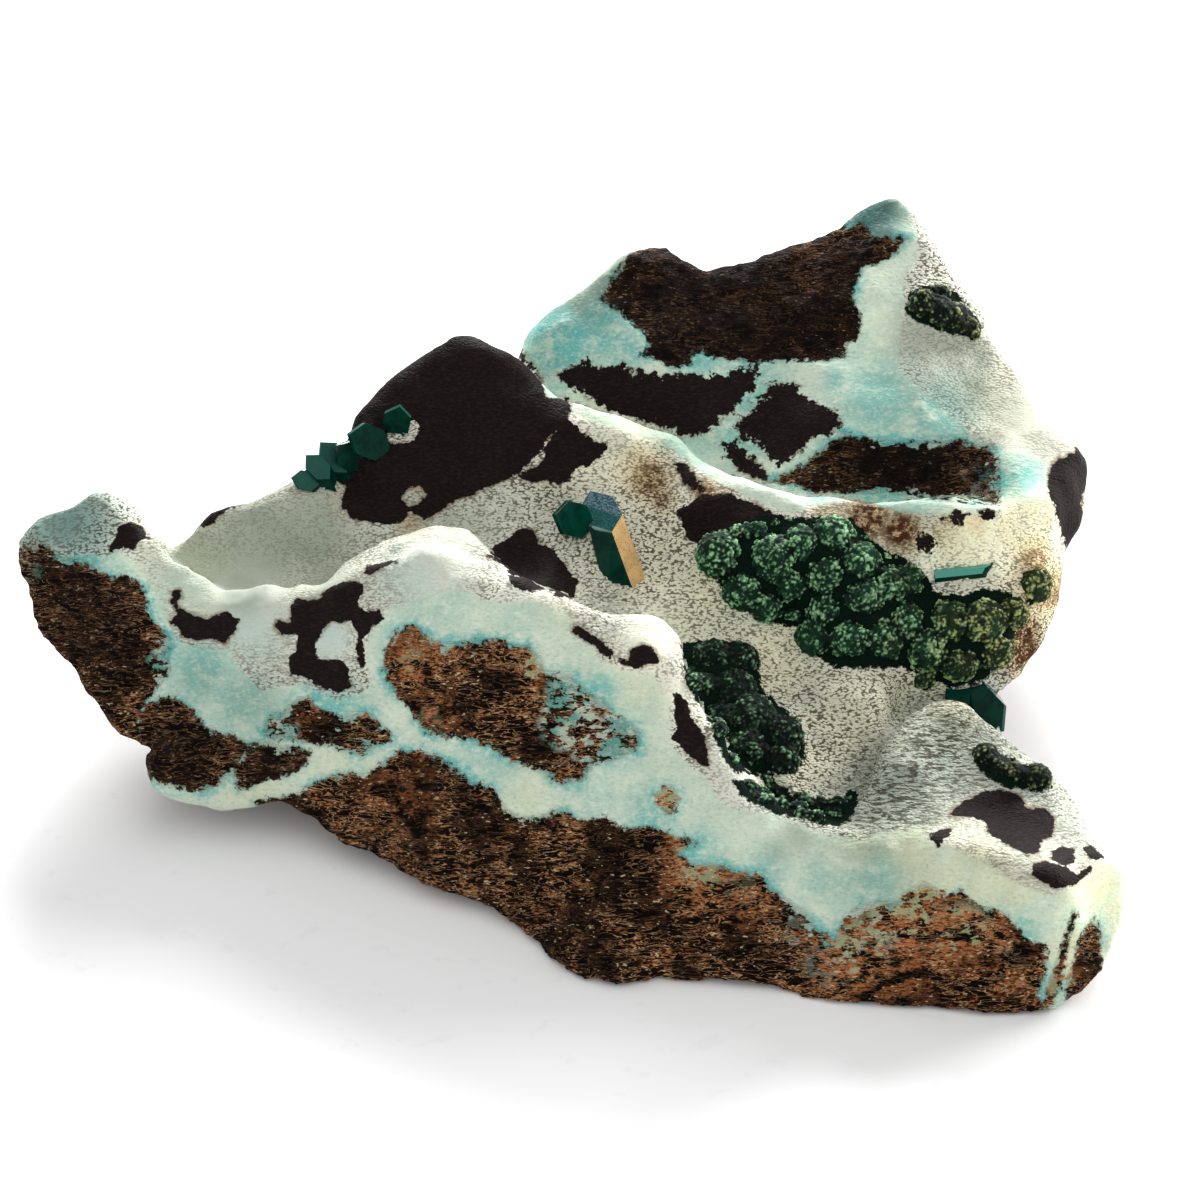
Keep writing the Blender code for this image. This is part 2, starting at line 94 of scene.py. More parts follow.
# Outlines of the near-black patches, (across, down) in the photograph
DARK_PATCHES = [
    [(395, 358), (442, 318), (480, 318), (505, 340), (518, 346), (534, 366), (544, 391), (546, 400), (567, 398),
     (571, 412), (562, 428), (550, 436), (545, 446), (531, 462), (515, 476), (490, 487), (468, 496), (450, 503),
     (437, 514), (425, 519), (412, 512), (404, 518), (395, 523), (372, 524), (355, 519), (343, 508), (341, 496),
     (346, 486), (340, 480), (320, 484), (296, 484), (290, 470), (316, 452), (340, 434), (356, 414), (362, 400),
     (374, 382)],
    [(568, 419), (580, 431), (592, 437), (596, 442), (606, 444), (601, 457), (589, 466), (578, 466), (571, 480),
     (557, 485), (546, 480), (523, 481), (519, 476), (538, 466), (545, 455), (546, 442), (557, 429)],
    [(520, 528), (533, 528), (542, 545), (555, 551), (564, 565), (577, 582), (574, 600), (559, 598), (548, 591),
     (522, 592), (511, 583), (506, 568), (488, 555), (495, 544), (509, 538)],
    [(677, 464), (685, 464), (697, 475), (706, 492), (694, 491), (683, 482), (678, 473)],
    [(690, 502), (705, 494), (728, 494), (752, 501), (768, 511), (792, 518), (790, 530), (760, 532), (728, 534),
     (716, 548), (703, 548), (690, 540), (683, 527), (678, 512)],
    [(915, 543), (920, 535), (929, 534), (938, 540), (938, 547), (928, 551), (918, 549)],
    [(942, 518), (955, 513), (968, 515), (960, 524), (946, 524)],
    [(980, 512), (990, 508), (997, 514), (994, 520), (982, 519)],
    [(1049, 464), (1062, 457), (1074, 452), (1080, 438), (1092, 440), (1088, 470), (1082, 500), (1082, 530),
     (1066, 548), (1060, 530), (1057, 512), (1049, 494)],
    [(118, 526), (128, 522), (141, 527), (149, 539), (140, 543), (132, 551), (124, 546), (110, 551), (115, 537)],
    [(171, 592), (180, 591), (183, 600), (178, 602), (186, 612), (207, 618), (226, 612), (240, 620), (236, 630),
     (225, 643), (211, 637), (198, 640), (184, 639), (178, 628), (169, 621), (178, 613), (172, 603)],
    [(289, 606), (298, 600), (318, 599), (326, 590), (338, 584), (352, 580), (365, 582), (362, 594), (358, 604),
     (365, 610), (380, 610), (384, 619), (374, 627), (369, 636), (360, 640), (356, 629), (350, 620), (341, 625),
     (333, 620), (325, 629), (316, 640), (316, 655), (322, 660), (341, 659), (349, 671), (349, 687), (339, 695),
     (329, 690), (318, 685), (302, 677), (289, 675), (291, 666), (287, 659), (298, 649), (298, 635), (285, 634),
     (273, 629), (277, 622), (290, 622)],
    [(358, 634), (362, 640), (364, 655), (366, 668), (361, 672), (358, 655)],
    [(570, 622), (583, 628), (597, 637), (610, 648), (618, 655), (610, 659), (599, 655), (596, 646), (580, 637),
     (573, 631)],
    [(614, 657), (628, 659), (630, 648), (643, 644), (655, 650), (659, 661), (648, 664), (636, 668), (622, 664)],
    [(674, 692), (681, 694), (688, 707), (692, 718), (704, 734), (709, 748), (708, 767), (697, 762), (688, 754),
     (679, 745), (670, 740), (677, 730), (673, 711)],
    [(948, 816), (965, 801), (980, 792), (1000, 789), (1019, 796), (1027, 807), (1043, 809), (1055, 820),
     (1051, 835), (1039, 843), (1039, 856), (1022, 855), (1007, 846), (991, 834), (984, 822), (966, 817)],
    [(926, 834), (942, 831), (953, 829), (947, 839), (938, 846), (930, 840)],
    [(1032, 865), (1046, 862), (1068, 868), (1076, 874), (1092, 863), (1092, 870), (1077, 884), (1057, 889),
     (1044, 881), (1032, 876)],
    [(1050, 852), (1062, 844), (1074, 850), (1074, 862), (1062, 866), (1051, 860)],
    [(1084, 846), (1095, 846), (1103, 857), (1098, 862), (1088, 858)],
    [(170, 540), (180, 529), (200, 515), (222, 502), (243, 494), (274, 486), (272, 493), (245, 503), (225, 512),
     (213, 522), (196, 530), (184, 536)],
    [(365, 573), (368, 566), (383, 562), (402, 559), (395, 564), (382, 569), (370, 575)],
    [(556, 376), (570, 367), (588, 359), (597, 368), (612, 368), (623, 364), (634, 372), (668, 374), (700, 374),
     (730, 374), (745, 368), (758, 367), (753, 387), (741, 402), (730, 413), (714, 425), (699, 435), (680, 435),
     (661, 424), (630, 416), (606, 409), (584, 394), (569, 385)],
    [(736, 429), (745, 413), (760, 401), (768, 389), (780, 383), (795, 386), (803, 397), (818, 405), (838, 411),
     (840, 424), (829, 434), (811, 439), (801, 452), (788, 462), (778, 466), (768, 455), (762, 443), (745, 438)],
    [(722, 445), (733, 440), (750, 455), (765, 470), (769, 482), (753, 478), (737, 467), (726, 458)],
]

# Pale windows left open inside the dark patches
PALE_WINDOWS = [
    [(387, 432), (395, 424), (408, 418), (417, 424), (419, 434), (410, 441), (398, 445), (388, 442)],
    [(402, 496), (410, 488), (420, 486), (426, 494), (420, 503), (408, 507)],
]

# Outlines of the broken brown core
CORES = [
    [(5, 560), (12, 548), (28, 546), (42, 541), (60, 556), (78, 560), (96, 566), (108, 577), (122, 575), (136, 581),
     (146, 594), (147, 610), (155, 622), (166, 632), (172, 645), (167, 656), (172, 668), (160, 684), (152, 694),
     (142, 708), (139, 726), (146, 752), (120, 758), (60, 710), (5, 620)],
    [(138, 716), (147, 704), (161, 697), (177, 699), (192, 708), (205, 726), (219, 733), (238, 737), (250, 747),
     (245, 758), (233, 765), (226, 777), (214, 787), (190, 791), (164, 787), (148, 780), (134, 760)],
    [(262, 730), (268, 717), (283, 711), (295, 700), (307, 696), (318, 708), (333, 712), (345, 717), (357, 711),
     (370, 712), (378, 721), (391, 731), (391, 741), (375, 747), (360, 755), (344, 752), (328, 746), (313, 745),
     (290, 740), (268, 741)],
    [(232, 774), (241, 759), (253, 742), (268, 741), (281, 745), (296, 746), (312, 753), (306, 764), (294, 774),
     (279, 779), (264, 780), (250, 789), (239, 789)],
    [(383, 662), (387, 646), (398, 631), (413, 625), (426, 636), (441, 644), (460, 641), (482, 639), (498, 639),
     (514, 645), (529, 647), (541, 660), (545, 672), (568, 672), (580, 688), (602, 699), (618, 714), (641, 731),
     (639, 748), (617, 759), (594, 766), (580, 783), (558, 783), (540, 770), (523, 765), (505, 758), (489, 746),
     (470, 740), (451, 738), (431, 735), (413, 716), (398, 697), (386, 680)],
    [(255, 802), (283, 797), (302, 792), (322, 779), (345, 773), (367, 775), (383, 761), (398, 752), (421, 751),
     (440, 758), (456, 768), (471, 781), (494, 791), (506, 808), (520, 817), (537, 817), (556, 810), (580, 819),
     (610, 819), (622, 828), (656, 827), (676, 836), (698, 842), (680, 853), (694, 865), (722, 865), (738, 872),
     (763, 875), (770, 888), (787, 899), (805, 911), (817, 930), (833, 938), (845, 915), (856, 907), (878, 901),
     (897, 903), (905, 892), (924, 882), (947, 895), (962, 892), (978, 907), (1000, 911), (1016, 926), (1028, 941),
     (1047, 946), (1046, 966), (1040, 992), (1046, 1030), (900, 1040), (560, 1010), (400, 890)],
    [(655, 800), (662, 787), (672, 786), (680, 800), (672, 815), (664, 813)],
    [(1073, 910), (1077, 914), (1072, 935), (1066, 958), (1062, 985), (1050, 1008), (1044, 1020), (1046, 990),
     (1055, 968), (1062, 945), (1068, 925)],
    [(1096, 915), (1086, 927), (1078, 941), (1076, 958), (1068, 978), (1066, 1010), (1094, 1000), (1104, 968),
     (1101, 935)],
    [(600, 300), (612, 278), (625, 256), (645, 240), (680, 244), (690, 260), (704, 260), (740, 250), (770, 240),
     (812, 224), (838, 218), (848, 226), (862, 222), (872, 237), (890, 236), (908, 238), (895, 255), (880, 262),
     (862, 268), (856, 285), (852, 300), (862, 318), (858, 338), (846, 345), (848, 355), (830, 360), (790, 360),
     (750, 362), (720, 358), (695, 350), (690, 365), (670, 368), (655, 358), (640, 355), (648, 345), (648, 335),
     (635, 325), (620, 312)],
    [(770, 481), (790, 471), (810, 459), (825, 446), (841, 433), (864, 437), (885, 441), (921, 441), (960, 440),
     (995, 444), (999, 455), (1001, 505), (960, 501), (921, 497), (884, 491), (845, 493), (815, 493), (798, 485)],
]

# Outlines of the smooth pale band on the broken face, of the ridge and of the back slopes
BANDS = [
    [(10, 556), (110, 556), (112, 548), (128, 556), (142, 566), (150, 580), (158, 600), (166, 618), (176, 640),
     (200, 648), (228, 650), (240, 668), (262, 690), (300, 684), (338, 700), (372, 688), (364, 660), (366, 640),
     (376, 622), (392, 608), (412, 602), (440, 592), (460, 588), (482, 599), (509, 603), (536, 601), (555, 608),
     (574, 622), (590, 637), (602, 660), (625, 670), (652, 673), (671, 704), (671, 745), (686, 761), (705, 777),
     (721, 800), (740, 809), (767, 813), (797, 823), (828, 834), (862, 842), (878, 832), (920, 828), (927, 840),
     (947, 844), (981, 861), (1012, 880), (1038, 892), (1057, 895), (1073, 888), (1092, 865), (1125, 850),
     (1140, 911), (1140, 1040), (560, 1040), (380, 900), (250, 830), (130, 830), (5, 700)],
    [(545, 385), (560, 378), (584, 395), (606, 410), (661, 425), (690, 437), (722, 445), (745, 475), (772, 484),
     (815, 495), (884, 492), (960, 502), (1003, 507), (1003, 513), (960, 516), (905, 512), (870, 503), (850, 500),
     (820, 506), (790, 514), (765, 506), (740, 492), (710, 478), (690, 462), (660, 442), (620, 430), (590, 422),
     (573, 412), (545, 395)],
    [(520, 290), (600, 250), (640, 235), (690, 250), (830, 210), (900, 185), (920, 250), (905, 280), (900, 330),
     (898, 372), (930, 396), (955, 420), (970, 438), (1003, 447), (1000, 508), (960, 502), (884, 492), (815, 495),
     (772, 484), (745, 475), (722, 445), (690, 437), (661, 425), (606, 410), (584, 395), (560, 378), (525, 372)],
    [(997, 453), (1012, 450), (1046, 462), (1046, 500), (1010, 506), (1001, 500)],
]

# Outlines of the malachite
GREENS = {
    "malachite_upper": [
        [(706, 552), (724, 532), (752, 520), (770, 516), (792, 518), (824, 516), (852, 518), (864, 532), (888, 552),
         (912, 560), (928, 580), (936, 592), (960, 596), (984, 588), (1008, 592), (1020, 600), (1016, 632),
         (1008, 656), (992, 676), (960, 688), (928, 680), (904, 668), (880, 668), (856, 668), (836, 668),
         (814, 656), (800, 628), (776, 624), (752, 612), (724, 592), (710, 576)],
        [(1022, 584), (1030, 574), (1042, 576), (1050, 586), (1044, 600), (1030, 604)],
    ],
    "malachite_lower": [
        [(680, 644), (704, 640), (744, 650), (760, 668), (762, 688), (780, 704), (800, 720), (806, 748), (800, 768),
         (776, 772), (752, 776), (732, 772), (720, 752), (708, 720), (692, 696), (684, 672)],
        [(732, 780), (752, 782), (776, 788), (808, 804), (836, 808), (846, 790), (860, 792), (856, 812),
         (840, 828), (800, 820), (760, 808), (740, 796)],
    ],
    "malachite_right": [
        [(972, 760), (984, 748), (1000, 754), (1024, 764), (1052, 772), (1052, 788), (1040, 792), (1008, 788),
         (984, 776)],
    ],
    "malachite_back": [
        [(904, 312), (912, 288), (932, 284), (956, 292), (972, 312), (984, 328), (964, 336), (940, 332), (916, 320)],
    ],
}

# Soft stains, with painted light (the bright dabs) and painted shade (the dim dabs) among them: (across, down,
# radius, strength) in the photograph
STAINS_AND_LIGHT = {
    "cream": [
        (640, 470, 45, 0.8), (600, 470, 40, 0.5), (680, 440, 30, 0.4), (640, 560, 60, 0.6), (700, 600, 60, 0.6),
        (780, 660, 60, 0.7), (840, 720, 60, 0.6), (800, 760, 45, 0.6), (880, 690, 50, 0.6), (960, 540, 50, 1),
        (1030, 520, 60, 1), (1030, 590, 50, 1), (560, 480, 40, 0.4), (1100, 900, 45, 1), (950, 712, 30, 0.9),
        (1085, 960, 45, 1), (990, 880, 70, 0.8), (900, 865, 60, 0.7), (570, 600, 50, 0.3), (250, 780, 40, 0.6),
        (350, 770, 40, 0.4), (620, 700, 50, 0.4), (520, 790, 40, 0.4), (1000, 400, 60, 0.5), (1080, 460, 30, 0.6),
    ],
    "rust": [
        (650, 478, 26, 0.9), (662, 500, 16, 0.8), (640, 460, 14, 0.5), (706, 492, 16, 0.9), (726, 487, 10, 0.6),
        (548, 436, 9, 0.8), (410, 522, 16, 0.6), (1035, 560, 22, 0.8), (1050, 590, 30, 0.8), (1024, 630, 22, 1),
        (1020, 650, 30, 1), (486, 620, 9, 0.9), (830, 512, 26, 0.7), (868, 518, 34, 1), (900, 530, 30, 1),
        (945, 530, 22, 0.5), (975, 522, 14, 0.5), (350, 500, 20, 0.3), (425, 484, 12, 0.5), (430, 428, 10, 0.6),
    ],
    "grey": [
        (200, 560, 60, 0.9), (260, 540, 70, 1), (310, 530, 60, 1), (330, 580, 45, 0.7), (240, 590, 40, 0.9),
        (420, 500, 50, 0.4), (960, 370, 60, 0.8), (920, 340, 40, 0.8), (1010, 400, 40, 0.6), (605, 285, 26, 0.7),
        (575, 300, 20, 0.5), (60, 520, 30, 0.9), (90, 500, 20, 0.6), (470, 535, 50, 0.45),
        (640, 245, 24, 0.5), (885, 205, 24, 0.5),
    ],
    "aqua": [
        (170, 600, 34, 0.3), (200, 670, 40, 0.7), (240, 700, 40, 0.6), (150, 640, 24, 0.8), (80, 530, 46, 0.9),
        (45, 530, 24, 0.8), (330, 640, 24, 0.6), (410, 580, 34, 0.4), (250, 640, 34, 0.5), (330, 700, 36, 0.9),
        (400, 640, 24, 0.7), (560, 340, 50, 1), (600, 330, 40, 0.9), (620, 350, 30, 0.8), (870, 210, 34, 1),
        (750, 390, 40, 0.8), (740, 440, 30, 0.8), (880, 400, 50, 0.7), (940, 415, 40, 0.8), (550, 380, 24, 0.6),
        (850, 450, 40, 0.5), (1003, 478, 16, 1), (1026, 476, 24, 0.8), (450, 610, 30, 0.2), (520, 615, 30, 0.2),
        (600, 690, 20, 0.8), (580, 740, 20, 0.8), (880, 880, 26, 0.6), (820, 880, 24, 0.4), (600, 800, 30, 0.3),
        (700, 355, 26, 0.9), (690, 440, 40, 0.4), (900, 500, 80, 0.5),
        (560, 700, 30, 0.9), (610, 740, 36, 0.7), (480, 770, 40, 0.4), (850, 890, 30, 0.5), (700, 850, 26, 0.7),
        (650, 810, 30, 0.6), (765, 870, 26, 0.5), (1025, 930, 20, 0.7), (835, 380, 14, 0.7), (1100, 930, 10, 0.2),
    ],
    # Painted light: dabs where the rock's colour is made lighter, as if more light falls there
    "painted_light": [
        (980, 545, 40, 1.4), (1030, 530, 50, 1.3), (1040, 590, 30, 0.8), (940, 560, 30, 0.8), (780, 630, 60, 0.6),
        (850, 700, 40, 0.3), (960, 370, 60, 0.1), (640, 420, 40, 0.4), (580, 400, 30, 0.5),
        (175, 590, 44, 1), (1100, 900, 40, 0.8), (650, 640, 30, 1), (870, 330, 40, 0.6), (700, 620, 60, 0.4),
        (860, 260, 30, 0.4), (140, 560, 30, 0.7), (690, 700, 24, 0.6), (600, 480, 50, 0.3),
    ],
    # Painted shade: dabs where the rock's colour is made darker, as if in shade
    "painted_shade": [
        (900, 780, 60, 0.6), (960, 760, 60, 0.6), (870, 830, 40, 0.6), (1000, 830, 40, 0.3), (830, 700, 60, 0.2),
        (70, 520, 44, 0.5), (30, 550, 30, 0.6), (870, 210, 40, 1), (640, 250, 30, 0.6), (590, 290, 40, 0.4),
        (550, 310, 20, 0.4), (200, 680, 30, 0.25), (1003, 480, 24, 0.4), (880, 870, 60, 0.2),
        (800, 838, 18, 0.35), (850, 850, 14, 0.3), (780, 850, 16, 0.3), (420, 480, 50, 0.2), (250, 700, 40, 0.3),
        (560, 500, 30, 0.2), (500, 470, 40, 0.2),
    ],
    "wrinkled": [
        (940, 760, 60, 1), (900, 800, 60, 1), (1000, 780, 50, 0.8), (860, 810, 30, 0.8), (1040, 850, 60, 0.7),
        (410, 580, 44, 0.5), (300, 640, 60, 0.6), (200, 620, 60, 0.5), (600, 620, 40, 0.4),
    ],
    "ochre": [
        (900, 920, 50, 1), (860, 950, 50, 0.9), (960, 930, 50, 0.8), (1000, 960, 40, 0.6), (700, 870, 40, 0.8),
        (740, 890, 40, 0.6), (920, 890, 30, 1), (420, 640, 40, 0.6), (530, 665, 24, 0.9),
        (410, 660, 24, 0.7), (668, 800, 20, 1), (430, 720, 30, 0.6), (400, 800, 40, 0.4), (1060, 985, 26, 0.8),
        (890, 960, 60, 0.6), (690, 845, 26, 0.9), (300, 705, 18, 0.5),
    ],
    "glazed": [
        (650, 640, 34, 0.9), (672, 690, 20, 0.9), (430, 575, 50, 1), (540, 605, 40, 0.8), (250, 615, 50, 1),
        (330, 640, 24, 1.2),
        (330, 590, 30, 0.4), (560, 395, 40, 0.7), (620, 430, 50, 0.5), (700, 470, 40, 0.5), (780, 500, 50, 0.5),
        (870, 500, 80, 0.6), (960, 505, 50, 0.6), (1030, 450, 60, 0.9), (740, 780, 40, 0.8), (960, 840, 60, 0.5),
        (720, 760, 24, 0.7), (925, 860, 50, 0.4), (1040, 860, 60, 0.5), (300, 650, 40, 0.3), (860, 220, 60, 0.9),
    ],
    "quiet": [
        (400, 850, 60, 0.3), (560, 930, 50, 0.4), (720, 300, 170, 1), (850, 280, 70, 1), (900, 465, 110, 1),
        (760, 420, 60, 1),
        (90, 620, 70, 0.8),
        (185, 750, 50, 0.8), (260, 765, 40, 0.8), (430, 780, 40, 0.4),
    ],
    "scattered": [
        (570, 720, 46, 1), (600, 750, 40, 1), (620, 730, 34, 1), (560, 690, 26, 0.8), (470, 680, 50, 0.5),
        (830, 960, 60, 0.6), (880, 930, 60, 0.6), (690, 900, 60, 0.2), (790, 930, 40, 0.6), (800, 900, 20, 0.9),
        (280, 730, 30, 0.8), (350, 735, 40, 0.5), (900, 465, 60, 0.4), (980, 480, 40, 0.6), (520, 840, 40, 0.5),
        (430, 800, 40, 0.4), (70, 540, 40, 0.9), (30, 570, 30, 0.6), (160, 660, 24, 0.8), (530, 690, 60, 0.5),
    ],
}

# The rock
ROCK_VOXEL = 0.51 * MM
CLOSING = 0.25 * MM
PLUG_SHRINK = 0.28 * MM
FINE_WITHIN = 0.8 * MM
SEEN_WITHIN = 1.2 * MM
HIDDEN_PAST = 2.6 * MM
REACH = 40
WELDED = 0.002 * MM
INSIDE_BOX = 0.01 * MM

# How deep the rock is sunk under the pieces that stand in it, and from how far off
TUCKED = 0.3 * MM
CRYSTAL_TUCK = 0.5 * MM
TUCKED_WITHIN = 0.16 * MM

# The malachite: small lumps are strewn at this spacing in pixels, this far inside the outlines
NODULE_VOXEL = 0.085 * MM
NODULE_SWELL = 0.14 * MM
LUMP_SPACING = 10
LUMP_RADIUS = 0.6 * MM
LUMP_MARGIN = 5
LIFT_ROUNDS = 160
# Painted shade: how far the lower, right and back growths are darkened beyond the upper one
SHADED_LIFT = 0.17

# The crystals
FOOT_FLARE = 0.6 * MM
FLAT_WITHIN = math.radians(1)
BEVEL_PAST = math.radians(15)
SMOOTH_WITHIN = math.radians(12)
GLINT_WITHIN = 0.985

CRYSTAL_NODES = ("dioptase_prism", "dioptase_left", "dioptase_right", "dioptase_shelf")
MALACHITE_NODES = tuple(GREENS)

# How far the upper faces of these crystals are painted pale teal, as painted light on their tops
PAINTED_TOP_LIGHT = {"dioptase_shelf": 1.0, "dioptase_left": 0.22}

# Outward directions of the tall crystal's lit faces, which carry painted reflections (tan on the right face,
# blue-grey and teal on the tip), and the upper half of its tip in the photograph
GLINTS = {"tan_reflection": (0.59, -0.5, 0.63), "sky": (-0.1, -0.25, 0.96)}
UPPER_FACET = [(575, 502), (590, 507), (604, 511), (622, 518), (640, 515), (620, 480), (575, 480)]
# Outline of the pale line painted along the front edge of the tall crystal's tip
FRONT_EDGE = [(592, 526), (602, 529), (613, 532.5), (613, 535), (602, 531.5), (592, 528.5)]


def tone(red, green, blue):
    """A colour given as the screen shows it, 0 to 255, as linear light with full alpha."""
    shown = (red, green, blue)
    return tuple(((c / 255 + 0.055) / 1.055) ** 2.4 if c > 10 else c / 255 / 12.92 for c in shown) + (1,)


def colour_property(name, description, colour):
    return FloatVectorProperty(
        name=name, description=description, subtype="COLOR", size=4, min=0, max=1, default=colour)


class SpecimenColours(bpy.types.PropertyGroup):
    crust: colour_property("Crust", "Pale crust of the hollow", tone(236, 236, 220))
    band: colour_property("Band", "Smooth band around the core", tone(206, 219, 199))
    halo: colour_property("Halo", "Blue-green stain next to the core", tone(98, 178, 172))
    patch: colour_property("Patch", "Near-black patches", tone(26, 19, 19))
    core: colour_property("Core", "Broken core", tone(12, 8, 6))
    # Light green of the raised malachite grain tips, partly a painted highlight
    malachite: colour_property("Malachite", "Tips of the malachite grains", tone(168, 226, 166))
    crystal: colour_property("Crystal", "Body of the dioptase", tone(3, 54, 43))


class SpecimenSizes(bpy.types.PropertyGroup):
    crust_bumps: FloatProperty(
        name="Crust bumps", description="Height of the low bumps of the crust", default=0.09 * MM, unit="LENGTH")
    core_relief: FloatProperty(
        name="Core relief", description="Depth of the broken core's relief", default=0.3 * MM, unit="LENGTH")
    grain_size: FloatProperty(
        name="Grain size", description="Size of a malachite grain", default=0.26 * MM, unit="LENGTH")
    grain_height: FloatProperty(
        name="Grain height", description="How far a malachite grain stands out", default=0.2 * MM, unit="LENGTH")
    edge_wear: FloatProperty(
        name="Crystal edge", description="Width of the bevel along a crystal's edges", default=0.025 * MM,
        unit="LENGTH")


def deselect():
    bpy.ops.object.select_all(action="DESELECT")


def activate(obj):
    deselect()
    obj.select_set(True)
    bpy.context.view_layer.objects.active = obj


def copy_of(node, name):
    """A new object with a merged copy of a CAD node's mesh."""
    piece = bpy.data.objects.new(name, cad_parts[node].data.copy())
    bpy.context.scene.collection.objects.link(piece)
    piece.data.materials.clear()
    activate(piece)
    bpy.ops.object.mode_set(mode="EDIT")
    bpy.ops.mesh.select_all(action="SELECT")
    bpy.ops.mesh.remove_doubles(threshold=WELDED)
    bpy.ops.object.mode_set(mode="OBJECT")
    return piece


def finish_with(piece, kind, **settings):
    """Add one modifier with these settings and apply it."""
    activate(piece)
    modifier = piece.modifiers.new(kind.lower(), kind)
    for key, value in settings.items():
        setattr(modifier, key, value)
    bpy.ops.object.modifier_apply(modifier=modifier.name)


def remesh(piece, voxel, smoothing):
    finish_with(piece, "REMESH", mode="VOXEL", voxel_size=voxel)
    finish_with(piece, "SMOOTH", factor=0.5, iterations=smoothing)


def tree_of(obj):
    return BVHTree.FromPolygons([v.co for v in obj.data.vertices], [p.vertices for p in obj.data.polygons])


def places_of(mesh):
    places = np.empty(len(mesh.vertices) * 3)
    mesh.vertices.foreach_get("co", places)
    return places.reshape(-1, 3)


def normals_of(mesh):
    normals = np.empty(len(mesh.vertices) * 3)
    mesh.vertex_normals.foreach_get("vector", normals)
    return normals.reshape(-1, 3)


def put_places(mesh, places):
    mesh.vertices.foreach_set("co", places.ravel())
    mesh.update()


def paint(mesh, name, values, on="POINT"):
    """Keep one number per vertex or face, which the material reads by name."""
    layer = mesh.attributes.new(name, "FLOAT", on)
    layer.data.foreach_set("value", np.asarray(values, np.float32))


def in_picture(places):
    """(across, down) in the photograph of each place."""
    ray = places - np.array(EYE)
    depth = -ray @ np.array(TOWARDS_EYE)
    scale = PIXELS_PER_METRE * SIGHT_DISTANCE / depth
    return MIDDLE + ray[:, 0] * scale, MIDDLE - (ray @ np.array(UP_THE_PICTURE)) * scale


def sight_through(across, down):
    """The direction in which the camera sees a place of the photograph."""
    scale = PIXELS_PER_METRE * SIGHT_DISTANCE
    sideways = Vector(((across - MIDDLE) / scale, 0, 0))
    return (sideways + UP_THE_PICTURE * ((MIDDLE - down) / scale) - TOWARDS_EYE).normalized()


def reach_into(outline, across, down):
    """How many pixels each place lies inside the outline, negative outside it."""
    corners = np.array(outline, float)
    nearest = np.full(len(across), 1e9)
    inside = np.zeros(len(across), bool)
    for (x0, y0), (x1, y1) in zip(corners, np.roll(corners, -1, axis=0)):
        run, drop = x1 - x0, y1 - y0
        along = np.clip(((across - x0) * run + (down - y0) * drop) / (run * run + drop * drop), 0, 1)
        nearest = np.minimum(nearest, np.hypot(across - x0 - along * run, down - y0 - along * drop))
        crosses = (y0 > down) != (y1 > down)
        inside ^= crosses & (across < run * (down - y0) / (drop or 1e-9) + x0)
    return np.where(inside, nearest, -nearest)


def reach_of(outlines, across, down, limit=REACH):
    """How far each place lies inside the nearest of the outlines, in pixels up to a limit."""
    best = np.full(len(across), -float(limit))
    for outline in outlines:
        corners = np.array(outline, float)
        low = corners.min(axis=0) - limit
        high = corners.max(axis=0) + limit
        near = (across > low[0]) & (across < high[0]) & (down > low[1]) & (down < high[1])
        if near.any():
            best[near] = np.maximum(best[near], reach_into(outline, across[near], down[near]))
    return np.minimum(best, limit)


def dab_strength(dabs, across, down):
    total = np.zeros(len(across))
    for x, y, radius, strength in dabs:
        away = np.hypot(across - x, down - y) / radius
        total = np.maximum(total, strength * np.clip(1.4 - away, 0, 1) ** 1.2)
    return total


def started_at(seed):
    """Where in the noise a seed starts."""
    return Vector((seed, seed * 0.7, seed * 1.3))


def waves(places, size, seed=0.0):
    """Smooth noise from -1 to 1 at each place."""
    start = started_at(seed)
    return np.array([noise.noise(Vector(p) / size + start) for p in places])


def bubbles(places, size, seed=0.0):
    """1 at the middle of rounded cells of that size, and near 0 where they meet."""
    start = started_at(seed)
    return np.array([1 - noise.voronoi(Vector(p) / size + start)[0][0] for p in places])


def crags(places, size, seed=0.0):
    """Broken ridges of that size and smaller, about -1 to 1."""
    start = started_at(seed)
    return np.array([noise.turbulence(Vector(p) / size + start, 3, True) - 0.9 for p in places])


def hiddenness(tree, places):
    """0 where the camera sees a place, 1 where the rock hides it well."""
    hidden = np.ones(len(places))
    for index, place in enumerate(places):
        point = Vector(place)
        way = point - EYE
        hit = tree.ray_cast(EYE, way.normalized())[3]
        if hit is None:
            hidden[index] = 0
            continue
        hidden[index] = (way.length - hit - SEEN_WITHIN) / (HIDDEN_PAST - SEEN_WITHIN)
    return np.clip(hidden, 0, 1)


def finer_where_seen(piece, tree):
    """Cut each face that the camera sees into four."""
    shape = bmesh.new()
    shape.from_mesh(piece.data)
    seen_edges = set()
    for face in shape.faces:
        middle = face.calc_center_median()
        way = middle - EYE
        hit = tree.ray_cast(EYE, way.normalized())[3]
        if hit is not None and way.length - hit < FINE_WITHIN and face.normal.dot(way) < 0:
            seen_edges.update(face.edges)
    bmesh.ops.subdivide_edges(shape, edges=list(seen_edges), cuts=1, use_grid_fill=True)
    bmesh.ops.triangulate(shape, faces=[face for face in shape.faces if len(face.verts) > 4])
    shape.to_mesh(piece.data)
    shape.free()


